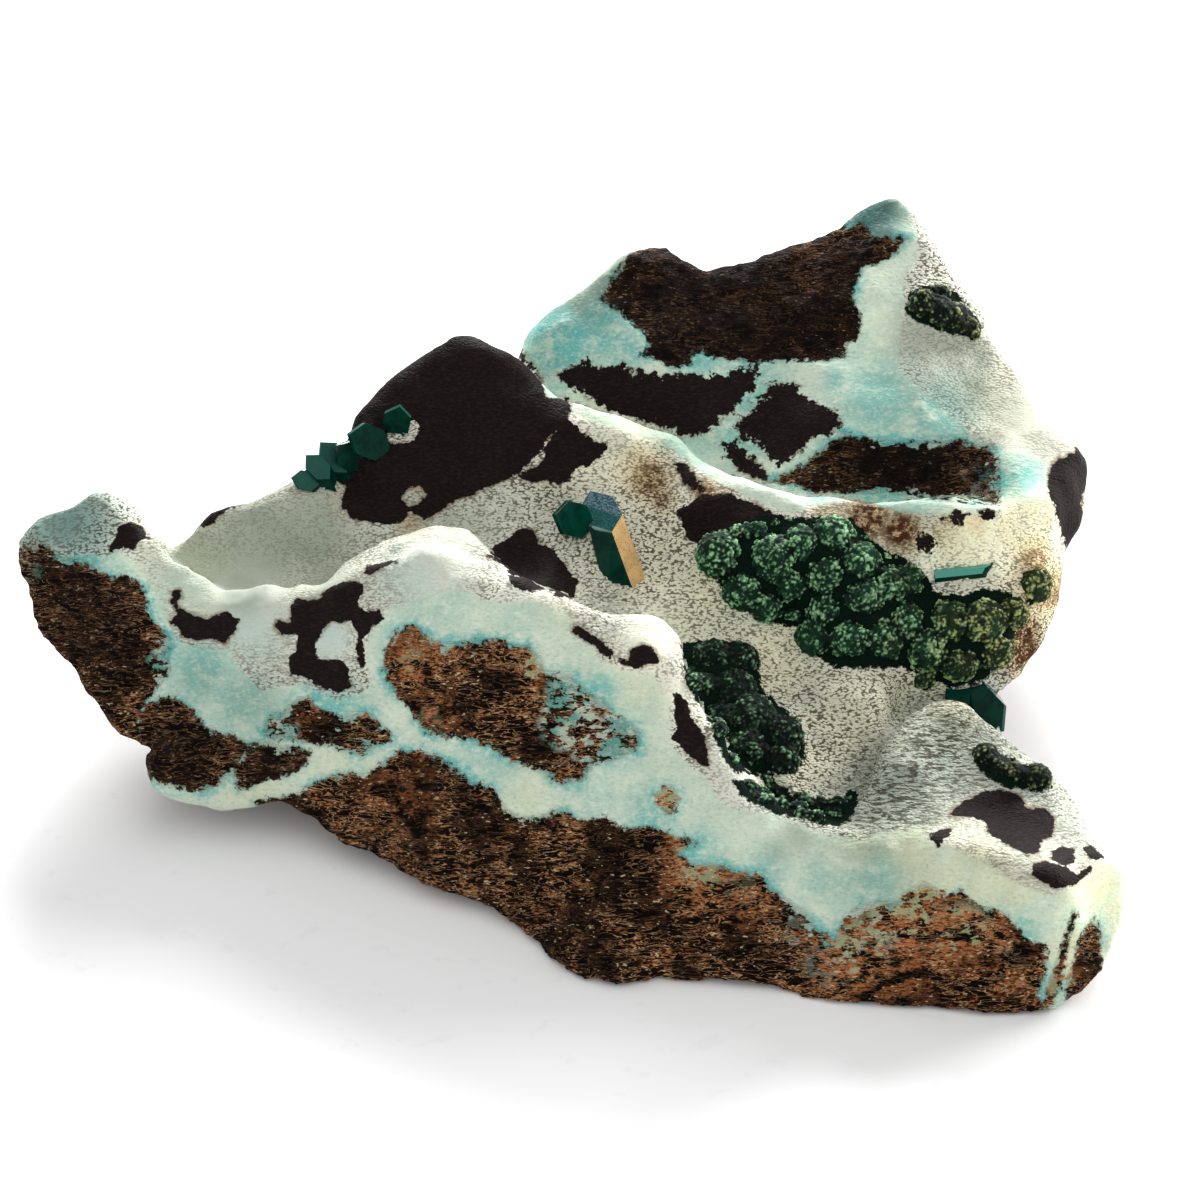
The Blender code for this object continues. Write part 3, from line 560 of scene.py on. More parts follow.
def tuck_under(places, nodes, depth):
    """Sink the rock's places that lie on or in these nodes well into them."""
    for node in nodes:
        low, high = (np.array(corner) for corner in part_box(node))
        near = np.where(((places > low - TUCKED) & (places < high + TUCKED)).all(axis=1))[0]
        mate = copy_of(node, "mate")
        tree = tree_of(mate)
        for index in near:
            point = Vector(places[index])
            nearest, outward, _, away = tree.find_nearest(point)
            inside = (point - nearest).dot(outward) < 0
            if (inside and away < depth) or (not inside and away < TUCKED_WITHIN):
                places[index] = nearest - outward * depth
        bpy.data.objects.remove(mate)


def clipped(places):
    """The places, kept inside the CAD box."""
    low, high = (np.array(corner) for corner in cad_box)
    return np.clip(places, low + INSIDE_BOX, high - INSIDE_BOX)


def make_rock(sizes):
    """The rock with its crust, from the CAD solid with the gaps around the crystals closed."""
    rock = copy_of("matrix", "crusted_rock")
    others = [copy_of(node, node + "_plug") for node in MALACHITE_NODES + CRYSTAL_NODES]
    for other in others[len(MALACHITE_NODES):]:
        finish_with(other, "DISPLACE", strength=-PLUG_SHRINK, mid_level=0)
    activate(rock)
    for other in others:
        other.select_set(True)
    bpy.ops.object.join()
    finish_with(rock, "DISPLACE", strength=CLOSING, mid_level=0)
    remesh(rock, ROCK_VOXEL, 2)
    finish_with(rock, "DISPLACE", strength=-CLOSING * 0.8, mid_level=0)
    finer_where_seen(rock, tree_of(rock))
    finish_with(rock, "SMOOTH", factor=0.5, iterations=2)
    places = places_of(rock.data)
    tree = tree_of(rock)
    hidden = hiddenness(tree, places)
    across, down = in_picture(places)
    normals = normals_of(rock.data)
    mm = places / MM

    # On the hidden side the core shows low down, with bands and patches above it
    wander = waves(places, 6 * MM, 3) * 2.5 + waves(places, 2 * MM, 9)
    core_behind = (7.5 - mm[:, 2] + wander * 1.5 - normals[:, 2] * 6) * 8
    dark_behind = (waves(places, 5 * MM, 21) + waves(places, 1.5 * MM, 5) * 0.25 - 0.3) * 60
    band_behind = core_behind + 60
    core = reach_of(CORES, across, down) * (1 - hidden) + np.clip(core_behind, -REACH, REACH) * hidden
    dark = reach_of(DARK_PATCHES, across, down)
    dark = np.minimum(dark, -reach_of(PALE_WINDOWS, across, down))
    dark = dark * (1 - hidden) + np.clip(dark_behind, -REACH, REACH) * hidden
    band = reach_of(BANDS, across, down) * (1 - hidden) + np.clip(band_behind, -REACH, REACH) * hidden
    stains_and_light = {name: dab_strength(dabs, across, down) * (1 - hidden) for name, dabs in STAINS_AND_LIGHT.items()}
    stains_and_light["aqua"] += hidden * np.clip(0.3 + waves(places, 8 * MM, 33), 0, 0.7)
    stains_and_light["ochre"] += hidden * np.clip(waves(places, 4 * MM, 41), 0, 0.6)
    stains_and_light["scattered"] += hidden * 0.3
    stains_and_light["grey"] += hidden * np.clip(0.65 + waves(places, 5 * MM, 51) * 0.5, 0.2, 1)
    stains_and_light["rust"] += hidden * np.clip(waves(places, 6 * MM, 57) * 1.6, 0, 0.8)
    stains_and_light["quiet"] += hidden * 0.5

    in_core = np.clip(core / 8 + 0.5, 0, 1)
    in_band = np.clip(band / 8 + 0.5, 0, 1)
    in_patch = np.clip(dark / 5 + 0.5, 0, 1)
    on_crust = (1 - in_core) * (1 - in_band) * (1 - 0.7 * in_patch)
    height = on_crust * sizes.crust_bumps * (waves(places, 1.7 * MM) + bubbles(places, 0.9 * MM, 7) - 0.4)
    height += in_core * sizes.core_relief * crags(places * (0.6, 1, 1.4), 1.6 * MM, 13)
    height += in_core * 0.12 * MM * waves(places, 0.5 * MM, 17)
    height += in_band * (1 - in_core) * 0.06 * MM * waves(places, 2.5 * MM, 19)
    height += in_patch * (1 - in_core) * 0.05 * MM
    ripples = np.sin(mm @ (0.6, 1.2, 14) + waves(places, 1.6 * MM, 23) * 5)
    height += stains_and_light["wrinkled"] * on_crust * 0.035 * MM * ripples
    places += normals * height[:, None]
    tuck_under(places, CRYSTAL_NODES, CRYSTAL_TUCK)
    tuck_under(places, MALACHITE_NODES, TUCKED)
    put_places(rock.data, clipped(places))
    paint(rock.data, "core", core)
    paint(rock.data, "dark", dark)
    paint(rock.data, "band", band)
    greens = [outline for outlines in GREENS.values() for outline in outlines]
    paint(rock.data, "green", reach_of(greens, across, down) * (1 - hidden) - REACH * hidden)
    for name, values in stains_and_light.items():
        paint(rock.data, name, values)
    return rock


def node_in(tree, kind, **values):
    """A new node, with its settings and its unlinked inputs set by name."""
    made = tree.nodes.new(kind)
    for key, value in values.items():
        if hasattr(made, key):
            setattr(made, key, value)
        else:
            made.inputs[key.replace("_", " ")].default_value = value
    return made


def feed(tree, value, socket):
    """Link a socket to another, or set it to a plain value."""
    if isinstance(value, bpy.types.NodeSocket):
        tree.links.new(value, socket)
    elif value is not None:
        socket.default_value = value


def maths(tree, operation, first, second=None, clamp=False):
    made = tree.nodes.new("ShaderNodeMath")
    made.operation = operation
    made.use_clamp = clamp
    feed(tree, first, made.inputs[0])
    feed(tree, second, made.inputs[1])
    return made.outputs[0]


def times(tree, first, second, clamp=False):
    return maths(tree, "MULTIPLY", first, second, clamp)


def plus(tree, first, second, clamp=False):
    return maths(tree, "ADD", first, second, clamp)


def minus(tree, first, second, clamp=False):
    return maths(tree, "SUBTRACT", first, second, clamp)


def mixed(tree, share, first, second, blend="MIX"):
    made = tree.nodes.new("ShaderNodeMix")
    made.data_type = "RGBA"
    made.blend_type = blend
    feed(tree, share, made.inputs[0])
    feed(tree, first, made.inputs[6])
    feed(tree, second, made.inputs[7])
    return made.outputs[2]


def ranged(tree, value, low, high, start=0.0, end=1.0):
    """The value moved from one range to another, smoothly and clamped."""
    made = tree.nodes.new("ShaderNodeMapRange")
    made.interpolation_type = "SMOOTHSTEP"
    feed(tree, value, made.inputs[0])
    for socket, number in zip(made.inputs[1:5], (low, high, start, end)):
        feed(tree, number, socket)
    return made.outputs[0]


def painted_value(tree, name):
    made = tree.nodes.new("ShaderNodeAttribute")
    made.attribute_name = name
    return made.outputs["Fac"]


def place_scaled(tree, pace, turn=0.0):
    """Object coordinates, turned about X, with a pace along the turned X, Y and Z."""
    where = tree.nodes.new("ShaderNodeTexCoord")
    mapping = node_in(tree, "ShaderNodeMapping", vector_type="TEXTURE", Scale=tuple(1 / part for part in pace),
                      Rotation=(turn, 0, 0))
    tree.links.new(where.outputs["Object"], mapping.inputs["Vector"])
    return mapping.outputs[0]


def noise_in(tree, where, size, detail=2.0, roughness=0.5, distortion=0.0):
    made = node_in(tree, "ShaderNodeTexNoise", Scale=1 / size, Detail=detail, Roughness=roughness,
                   Distortion=distortion)
    feed(tree, where, made.inputs["Vector"])
    return made.outputs["Fac"]


def warped(tree, where, size, amount):
    """Coordinates pushed about by smooth noise of that size."""
    push = node_in(tree, "ShaderNodeTexNoise", Scale=1 / size, Detail=0.0)
    feed(tree, where, push.inputs["Vector"])
    made = tree.nodes.new("ShaderNodeVectorMath")
    made.operation = "MULTIPLY_ADD"
    tree.links.new(push.outputs["Color"], made.inputs[0])
    made.inputs[1].default_value = (amount, amount, amount)
    feed(tree, where, made.inputs[2])
    return made.outputs[0]


def grain_depth(tree, where, size):
    """0 in the middle of rounded grains of that size, and up to about 1 in the pits between them."""
    made = node_in(tree, "ShaderNodeTexVoronoi", feature="F1", Scale=1 / size)
    feed(tree, where, made.inputs["Vector"])
    return made.outputs["Distance"]


def new_group(name, inputs, outputs):
    """An empty shader node group with these float or colour sockets."""
    group = bpy.data.node_groups.new(name, "ShaderNodeTree")
    for title, kind, default in inputs:
        socket = group.interface.new_socket(title, in_out="INPUT", socket_type=kind)
        if default is not None:
            socket.default_value = default
    for title, kind in outputs:
        group.interface.new_socket(title, in_out="OUTPUT", socket_type=kind)
    return group, group.nodes.new("NodeGroupInput"), group.nodes.new("NodeGroupOutput")


def fine_grain_group():
    """Fine pits and grains: a mask of the pits and a height, at a size that each material gives."""
    name = "fine grain"
    if name in bpy.data.node_groups:
        return bpy.data.node_groups[name]
    group, given, made = new_group(
        name,
        [("Vector", "NodeSocketVector", None), ("Fineness", "NodeSocketFloat", 5000.0),
         ("Cover", "NodeSocketFloat", 0.4)],
        [("Mask", "NodeSocketFloat"), ("Height", "NodeSocketFloat")],
    )
    grain = node_in(group, "ShaderNodeTexNoise", Detail=2.5, Roughness=0.6, Distortion=0.3)
    group.links.new(given.outputs["Vector"], grain.inputs["Vector"])
    group.links.new(given.outputs["Fineness"], grain.inputs["Scale"])
    low = minus(group, given.outputs["Cover"], 0.05)
    high = plus(group, given.outputs["Cover"], 0.05)
    group.links.new(ranged(group, grain.outputs["Fac"], low, high, 1.0, 0.0), made.inputs["Mask"])
    group.links.new(grain.outputs["Fac"], made.inputs["Height"])
    return group


def fine_grain(tree, where, size, cover):
    made = tree.nodes.new("ShaderNodeGroup")
    made.node_tree = fine_grain_group()
    feed(tree, where, made.inputs["Vector"])
    feed(tree, 1 / size, made.inputs["Fineness"])
    feed(tree, cover, made.inputs["Cover"])
    return made.outputs["Mask"], made.outputs["Height"]


def new_material(name):
    """A material with a Principled shader, and the two things that others link to."""
    material = bpy.data.materials.new(name)
    material.use_nodes = True
    tree = material.node_tree
    return material, tree, tree.nodes["Principled BSDF"]


def add_bump(tree, shader, height, distance, strength=1.0):
    bump = node_in(tree, "ShaderNodeBump", Distance=distance, Strength=strength)
    feed(tree, height, bump.inputs["Height"])
    tree.links.new(bump.outputs[0], shader.inputs["Normal"])


def rock_material(colours):
    material, tree, shader = new_material("crusted rock")
    plain = place_scaled(tree, (1, 1, 1))
    dashed = place_scaled(tree, (0.65, 0.6, 1.15), -SIGHT_RISE)
    combed = place_scaled(tree, (0.32, 0.3, 1.35), -SIGHT_RISE)
    core = painted_value(tree, "core")
    dark = painted_value(tree, "dark")
    band = painted_value(tree, "band")
    green = painted_value(tree, "green")
    stain_or_light = {name: painted_value(tree, name) for name in STAINS_AND_LIGHT}
    broad = noise_in(tree, plain, 3 * MM, 2)
    ragged = noise_in(tree, plain, 0.5 * MM, 4, 0.7)
    wobble = minus(tree, ragged, 0.5)
    clumps = noise_in(tree, dashed, 0.9 * MM, 3, 0.6)
    flecked = place_scaled(tree, (0.45, 0.4, 1.3), -SIGHT_RISE)
    specks = noise_in(tree, flecked, 0.15 * MM, 2, 0.6)
    glints = noise_in(tree, flecked, 0.19 * MM, 1, 0.5)
    strands = noise_in(tree, combed, 0.42 * MM, 2, 0.55, 1.2)
    lines = ranged(tree, maths(tree, "ABSOLUTE", minus(tree, strands, 0.5)), 0, 0.035, 1, 0)

    # The crust of small pale grains with pits between them, combed into ripples on the right lobe
    grains = grain_depth(tree, warped(tree, dashed, 0.4 * MM, 0.16 * MM), 0.145 * MM)
    reach = ranged(tree, noise_in(tree, plain, 0.4 * MM, 2, 0.6), 0.36, 0.64, 0.72, 0.5)
    reach = minus(tree, reach, times(tree, stain_or_light["rust"], 0.08))
    # Under the painted light the pits shrink
    reach = plus(tree, reach, times(tree, stain_or_light["painted_light"], 0.05))
    pits = ranged(tree, minus(tree, grains, reach), -0.13, 0.13)
    ripples = ranged(tree, noise_in(tree, combed, 0.19 * MM, 2, 0.6), 0.53, 0.43)
    pits = mixed(tree, stain_or_light["wrinkled"], pits, ripples)
    crust = mixed(tree, stain_or_light["cream"], colours.crust, tone(238, 230, 196))
    crust = mixed(tree, ranged(tree, specks, 0.4, 0.7, 0, 0.35), crust, tone(188, 186, 166))
    crust = mixed(tree, stain_or_light["grey"], crust, tone(160, 168, 152))
    crust = mixed(tree, ranged(tree, broad, 0.35, 0.7, 0, 0.35), crust, tone(186, 192, 178))
    crust = mixed(tree, times(tree, stain_or_light["aqua"], 0.6, True), crust, tone(122, 186, 184))
    crust = mixed(tree, times(tree, stain_or_light["wrinkled"], 0.5, True), crust, tone(176, 192, 182))
    open_crust = minus(tree, 0.92, times(tree, stain_or_light["grey"], 0.62), True)
    open_crust = minus(tree, open_crust, times(tree, stain_or_light["glazed"], 0.75), True)
    # Painted light also makes the pits fainter
    open_crust = minus(tree, open_crust, times(tree, stain_or_light["painted_light"], 0.25), True)
    crust = mixed(tree, times(tree, stain_or_light["rust"], 0.8), crust, tone(204, 172, 118))
    pit_colour = mixed(tree, stain_or_light["cream"], tone(88, 84, 66), tone(52, 47, 33))
    pit_colour = mixed(tree, stain_or_light["rust"], pit_colour, tone(64, 34, 16))
    crust = mixed(tree, times(tree, pits, open_crust), crust, pit_colour)
    rusty = times(tree, minus(tree, stain_or_light["rust"], 0.55), 2.2, True)
    rusty = times(tree, rusty, ranged(tree, ragged, 0.38, 0.55), True)
    crust = mixed(tree, rusty, crust, tone(74, 42, 26))

    # The smooth band, stained blue-green towards the core
    nearness = plus(tree, core, times(tree, wobble, 26))
    smooth = mixed(tree, stain_or_light["cream"], colours.band, tone(212, 214, 178))
    smooth = mixed(tree, ranged(tree, broad, 0.4, 0.65, 0, 0.6), smooth, tone(184, 204, 186))
    halo = times(tree, ranged(tree, nearness, -11, -1, 0, 0.9), ranged(tree, broad, 0.4, 0.58, 0.2, 1))
    halo = times(tree, halo, minus(tree, 1.0, times(tree, stain_or_light["cream"], 0.8)))
    smooth = mixed(tree, halo, smooth, colours.halo)
    stained = times(tree, stain_or_light["aqua"], ranged(tree, ragged, 0.3, 0.55, 0.5, 1), True)
    smooth = mixed(tree, stained, smooth, colours.halo)
    smooth = mixed(tree, times(tree, stain_or_light["grey"], 0.6), smooth, tone(120, 128, 116))
    smooth = mixed(tree, ranged(tree, clumps, 0.5, 0.7, 0, 0.5), smooth, tone(222, 230, 208))
    crinkle = noise_in(tree, dashed, 0.2 * MM, 2, 0.6)
    smooth = mixed(tree, ranged(tree, crinkle, 0.5, 0.72, 0, 0.35), smooth, tone(234, 240, 222))
    smooth = mixed(tree, ranged(tree, crinkle, 0.46, 0.28, 0, 0.35), smooth, tone(132, 162, 150))
    band_edge = plus(tree, band, times(tree, wobble, 16))
    in_band = ranged(tree, band_edge, -3, 3)
    colour = mixed(tree, in_band, crust, smooth)
    # Painted light: the colour is multiplied up where the bright dabs lie
    colour = mixed(tree, stain_or_light["painted_light"], colour, (1.35, 1.35, 1.3, 1), "MULTIPLY")
    # Painted shade: the colour is darkened where the dim dabs lie
    colour = mixed(tree, stain_or_light["painted_shade"], colour, (0.3, 0.33, 0.32, 1), "MULTIPLY")

    # The near-black patches
    raggedness = plus(tree, 9.0, times(tree, stain_or_light["quiet"], 34))
    patch_edge = plus(tree, dark, times(tree, wobble, raggedness))
    patch_edge = plus(tree, patch_edge, ranged(tree, clumps, 0.3, 0.7, -1.5, 1.5))
    rim = times(tree, ranged(tree, patch_edge, -4, -0.5, 0, 0.6), ranged(tree, broad, 0.4, 0.6))
    colour = mixed(tree, rim, colour, tone(120, 88, 60))
    in_patch = ranged(tree, patch_edge, -0.7, 0.7)
    patch = mixed(tree, ranged(tree, specks, 0.45, 0.7, 0, 0.7), colours.patch, tone(46, 34, 31))
    colour = mixed(tree, in_patch, colour, patch)

    # The broken core, with lines and flecks of tan and cream
    loose = times(tree, maths(tree, "ABSOLUTE", minus(tree, clumps, 0.5)), 130)
    core_edge = plus(tree, core, times(tree, wobble, 26))
    core_edge = minus(tree, core_edge, times(tree, stain_or_light["scattered"], loose))
    in_core = ranged(tree, core_edge, -2, 2)
    lively = minus(tree, 1.0, times(tree, stain_or_light["quiet"], 0.85), True)
    inner = mixed(tree, ranged(tree, clumps, 0.4, 0.64), colours.core, tone(42, 26, 17))
    teal_spots = noise_in(tree, dashed, 0.55 * MM, 3, 0.65)
    grit = ranged(tree, specks, 0.49, 0.6)
    grit = times(tree, grit, ranged(tree, clumps, 0.45, 0.6, 0.04, 1))
    grit = times(tree, grit, ranged(tree, broad, 0.42, 0.56, 0.12, 1))
    inner = mixed(tree, times(tree, grit, lively), inner, tone(176, 116, 72))
    ochre = times(tree, stain_or_light["ochre"], ranged(tree, clumps, 0.45, 0.56), True)
    ochre = times(tree, ochre, ranged(tree, specks, 0.38, 0.54, 0.12, 1))
    inner = mixed(tree, ochre, inner, tone(204, 126, 76))
    pale = plus(tree, teal_spots, ranged(tree, core, 8, 45, 0.05, -0.06))
    pale = ranged(tree, pale, 0.51, 0.57, 0, 0.9)
    pale = times(tree, ranged(tree, stain_or_light["ochre"], 0.5, 0.9), pale, True)
    inner = mixed(tree, pale, inner, tone(190, 194, 150))
    inner = mixed(tree, times(tree, stain_or_light["quiet"], 0.6, True), inner, colours.patch)
    veined = times(tree, lines, ranged(tree, broad, 0.38, 0.6, 0.15, 1))
    inner = mixed(tree, times(tree, veined, lively), inner, tone(208, 160, 116))
    opened = ranged(tree, stain_or_light["scattered"], 0.5, 0.85)
    opened = times(tree, opened, ranged(tree, teal_spots, 0.49, 0.56), True)
    teal = mixed(tree, ranged(tree, broad, 0.45, 0.55), tone(118, 180, 164), colours.band)
    inner = mixed(tree, opened, inner, teal)
    glow = plus(tree, glints, ranged(tree, clumps, 0.4, 0.6, -0.1, 0.01))
    glow = times(tree, ranged(tree, glow, 0.65, 0.7, 0, 0.8), lively)
    inner = mixed(tree, glow, inner, tone(232, 210, 170))
    colour = mixed(tree, in_core, colour, inner)

    # The ground between the malachite nodules
    green_edge = plus(tree, green, times(tree, wobble, 16))
    colour = mixed(tree, ranged(tree, green_edge, -1, 1), colour, tone(9, 25, 17))
    feed(tree, colour, shader.inputs["Base Color"])

    rough = mixed(tree, in_band, (0.85, 0.85, 0.85, 1), (0.55, 0.55, 0.55, 1))
    rough = mixed(tree, in_patch, rough, (0.6, 0.6, 0.6, 1))
    rough = mixed(tree, in_core, rough, (0.7, 0.7, 0.7, 1))
    feed(tree, rough, shader.inputs["Roughness"])
    shader.inputs["Specular IOR Level"].default_value = 0.04

    domes = ranged(tree, grains, 0.2, 0.9, 0.5, 0)
    even = plus(tree, times(tree, stain_or_light["glazed"], 0.75), times(tree, stain_or_light["grey"], 0.5))
    height = times(tree, domes, minus(tree, 1.0, even, True))
    height = mixed(tree, ranged(tree, band, -3, 3), height, times(tree, crinkle, 0.6))
    height = mixed(tree, ranged(tree, dark, -1, 1), height, times(tree, domes, 0.4))
    height = mixed(tree, ranged(tree, core, -3, 3), height, times(tree, specks, 3.6))
    add_bump(tree, shader, height, 0.14 * MM, 1.0)
    return material


def add_lumps(piece, node, outlines):
    """Strew small lumps over the ground between the nodules of a node."""
    ground = tree_of(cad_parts["matrix"])
    nodules = tree_of(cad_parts[node])
    chance = np.random.default_rng(4)
    shape = bmesh.new()
    shape.from_mesh(piece.data)
    for outline in outlines:
        corners = np.array(outline, float)
        low, high = corners.min(axis=0), corners.max(axis=0)
        grid = np.mgrid[low[0]:high[0]:LUMP_SPACING, low[1]:high[1]:LUMP_SPACING * 0.85].reshape(2, -1)
        across, down = grid + chance.uniform(-0.45, 0.45, grid.shape) * LUMP_SPACING
        for x, y in zip(across, down):
            size = LUMP_RADIUS * chance.uniform(0.6, 1.1)
            if reach_into(outline, np.array([x]), np.array([y]))[0] < LUMP_MARGIN:
                continue
            way = sight_through(x, y)
            spot, _, _, away = ground.ray_cast(EYE, way)
            on_nodule, _, _, nodule_away = nodules.ray_cast(EYE, way)
            if on_nodule is not None and (spot is None or nodule_away < away):
                continue
            if spot is not None:
                bmesh.ops.create_icosphere(shape, subdivisions=2, radius=size, matrix=Matrix.Translation(spot))
    shape.to_mesh(piece.data)
    shape.free()


def lift_of(piece, rounds):
    """How far each vertex stands out from a much smoother copy of the mesh."""
    soft = bpy.data.objects.new("soft", piece.data.copy())
    bpy.context.scene.collection.objects.link(soft)
    finish_with(soft, "SMOOTH", factor=0.5, iterations=rounds)
    lift = ((places_of(piece.data) - places_of(soft.data)) * normals_of(soft.data)).sum(axis=1)
    bpy.data.objects.remove(soft)
    return lift


def make_malachite(node, sizes):
    """Nodules covered with fine curled grains, in place of the CAD ones."""
    piece = copy_of(node, node + "_grains")
    finish_with(piece, "DISPLACE", strength=NODULE_SWELL, mid_level=0)
    add_lumps(piece, node, GREENS[node])
    remesh(piece, NODULE_VOXEL, 2)
    places = places_of(piece.data)
    normals = normals_of(piece.data)
    swirl = np.stack([waves(places, 0.5 * MM, seed) for seed in (3, 11, 19)], axis=1) * 0.12 * MM
    grains = bubbles(places + swirl, sizes.grain_size, 5)
    fine = waves(places, 0.13 * MM, 31)
    knobs = bubbles(places, 0.62 * MM, 37)
    height = (grains - 0.6) * sizes.grain_height + fine * 0.03 * MM + (knobs - 0.6) * 0.2 * MM
    put_places(piece.data, clipped(places + normals * height[:, None]))
    broad = waves(places, 0.9 * MM, 37)
    # The tip value follows the raised grains and knobs; the material turns high parts light green, partly as painted
    # highlight
    paint(piece.data, "tip", np.clip(grains * 0.65 + knobs * 0.3 + fine * 0.25 + broad * 0.25 - 0.1, 0, 1))
    olive = np.clip((places[:, 0] / MM - 20) / 8 + waves(places, 1.5 * MM, 43) * 0.6, 0, 1)
    paint(piece.data, "olive", olive)
    # Painted shade: the growths other than the upper one get a lower lift, which the material darkens
    in_shade = 0.0 if node == "malachite_upper" else SHADED_LIFT
    paint(piece.data, "lift", lift_of(piece, LIFT_ROUNDS) / MM - in_shade)
    activate(piece)
    bpy.ops.object.shade_smooth()
    return piece


def malachite_material(colours):
    material, tree, shader = new_material("malachite")
    plain = place_scaled(tree, (1, 1, 1))
    tip = painted_value(tree, "tip")
    olive = painted_value(tree, "olive")
    lift = painted_value(tree, "lift")
    # Partly the malachite's own light and deep greens, partly painted highlight on the raised grain tips and painted
    # shade in the low parts between them
    deep = mixed(tree, olive, tone(17, 46, 30), tone(36, 46, 22))
    high = mixed(tree, olive, colours.malachite, tone(206, 212, 136))
    mask, height = fine_grain(tree, plain, 0.07 * MM, 0.45)
    colour = mixed(tree, ranged(tree, tip, 0.3, 0.78), deep, high)
    broad = noise_in(tree, plain, 1.6 * MM, 2)
    colour = mixed(tree, ranged(tree, broad, 0.45, 0.65, 0, 0.3), colour, tone(24, 82, 56))
    colour = mixed(tree, times(tree, mask, 0.45), colour, tone(5, 16, 12))
    # Painted shade: the colour goes near black in the crevices, where a vertex lies below a much smoother copy of
    # the mesh, and further on the shaded growths
    colour = mixed(tree, ranged(tree, lift, 0.08, -0.14, 0, 0.93), colour, tone(2, 10, 7))
    feed(tree, colour, shader.inputs["Base Color"])
    feed(tree, ranged(tree, tip, 0.3, 0.9, 0.7, 0.35), shader.inputs["Roughness"])
    shader.inputs["Specular IOR Level"].default_value = 0.12
    add_bump(tree, shader, height, 0.05 * MM, 0.7)
    return material


def foot_out(mesh):
    """Widen the tall crystal to the left towards its foot."""
    places = places_of(mesh)
    across, down = in_picture(places)
    at_left = (down > 575) & (across < 625)
    places[at_left, 0] -= FOOT_FLARE
    put_places(mesh, places)


def make_crystal(node, sizes):
    """The crystals of one node with fine bevelled edges, and painted reflections on the faces that catch the light.
    """
    piece = copy_of(node, node + "_faces")
    if node == "dioptase_prism":
        foot_out(piece.data)
    activate(piece)
    bpy.ops.object.mode_set(mode="EDIT")
    bpy.ops.mesh.select_all(action="SELECT")
    bpy.ops.mesh.dissolve_limited(angle_limit=FLAT_WITHIN)
    bpy.ops.object.mode_set(mode="OBJECT")
    finish_with(piece, "BEVEL", width=sizes.edge_wear, segments=2, limit_method="ANGLE",
                angle_limit=BEVEL_PAST, use_clamp_overlap=True)
    finish_with(piece, "TRIANGULATE")
    if node == "dioptase_prism":
        finish_with(piece, "SUBSURF", subdivision_type="SIMPLE", levels=3)
    mesh = piece.data
    for name, outward in GLINTS.items():
        here = 1.0 if node == "dioptase_prism" else 0.0
        lit = [here * (face.normal.dot(Vector(outward)) > GLINT_WITHIN) for face in mesh.polygons]
        paint(mesh, name, lit, "FACE")
    across, down = in_picture(places_of(mesh))
    paint(mesh, "upper", reach_into(UPPER_FACET, across, down))
    paint(mesh, "worn", reach_into(FRONT_EDGE, across, down))
    painted_top_light = PAINTED_TOP_LIGHT.get(node, 0.0)
    paint(mesh, "painted_top_light", [painted_top_light * (face.normal.z > 0.5) for face in mesh.polygons], "FACE")
    activate(piece)
    bpy.ops.object.shade_smooth_by_angle(angle=SMOOTH_WITHIN)
    return piece


def crystal_material(colours):
    material, tree, shader = new_material("dioptase")
    plain = place_scaled(tree, (1, 1, 1))
    long_ways = place_scaled(tree, (1, 1, 0.2))
    tan_reflection, sky, upper = (painted_value(tree, name) for name in ("tan_reflection", "sky", "upper"))
    mask, height = fine_grain(tree, plain, 0.12 * MM, 0.36)
    cloud = noise_in(tree, plain, 0.9 * MM, 3)
    stripes = noise_in(tree, long_ways, 0.12 * MM, 2)
    colour = mixed(tree, ranged(tree, cloud, 0.35, 0.65), colours.crystal, tone(2, 40, 33))
    colour = mixed(tree, ranged(tree, stripes, 0.6, 0.7, 0, 0.3), colour, tone(16, 78, 66))
    # Painted reflection: the tall crystal's right face is coloured tan, with dark specks
    reflected_tan = mixed(tree, ranged(tree, cloud, 0.35, 0.65), tone(230, 188, 128), tone(208, 170, 116))
    reflected_tan = mixed(tree, mask, reflected_tan, tone(70, 58, 38))
    colour = mixed(tree, tan_reflection, colour, reflected_tan)
    # Painted reflection: the tip's upward faces are coloured blue-grey on the upper half and teal on the lower
    lower_sky = mixed(tree, ranged(tree, stripes, 0.4, 0.6), tone(18, 62, 62), tone(40, 88, 86))
    upper_sky = mixed(tree, ranged(tree, stripes, 0.4, 0.6), tone(42, 66, 76), tone(92, 118, 124))
    colour = mixed(tree, sky, colour, mixed(tree, ranged(tree, upper, -1, 1), lower_sky, upper_sky))
    # A pale line is painted along the front edge of the tip
    worn = ranged(tree, painted_value(tree, "worn"), -1.2, 0.6, 0, 0.7)
    colour = mixed(tree, worn, colour, tone(150, 176, 166))
    # Painted light: faces turned upwards are coloured pale teal
    colour = mixed(tree, painted_value(tree, "painted_top_light"), colour, tone(84, 152, 136))
    feed(tree, colour, shader.inputs["Base Color"])
    shader.inputs["Roughness"].default_value = 0.14
    shader.inputs["IOR"].default_value = 1.66
    shader.inputs["Specular IOR Level"].default_value = 0.03
    shader.inputs["Transmission Weight"].default_value = 0.04
    add_bump(tree, shader, height, 0.006 * MM, 0.4)
    return material


def dress(piece, material, node):
    """Give a finished piece its material, hide the CAD node it stands for, and hang it under the root body."""
    piece.data.materials.clear()
    piece.data.materials.append(material)
    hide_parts(node)
    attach(piece, "root")


class SPECIMEN_OT_rock(bpy.types.Operator):
    """Make the crusted rock with its broken core"""

    bl_idname = "specimen.rock"
    bl_label = "Rock"

    def execute(self, context):
        rock = make_rock(context.scene.specimen_sizes)
        activate(rock)
        bpy.ops.object.shade_smooth()
        dress(rock, rock_material(context.scene.specimen_colours), "matrix")
        return {"FINISHED"}


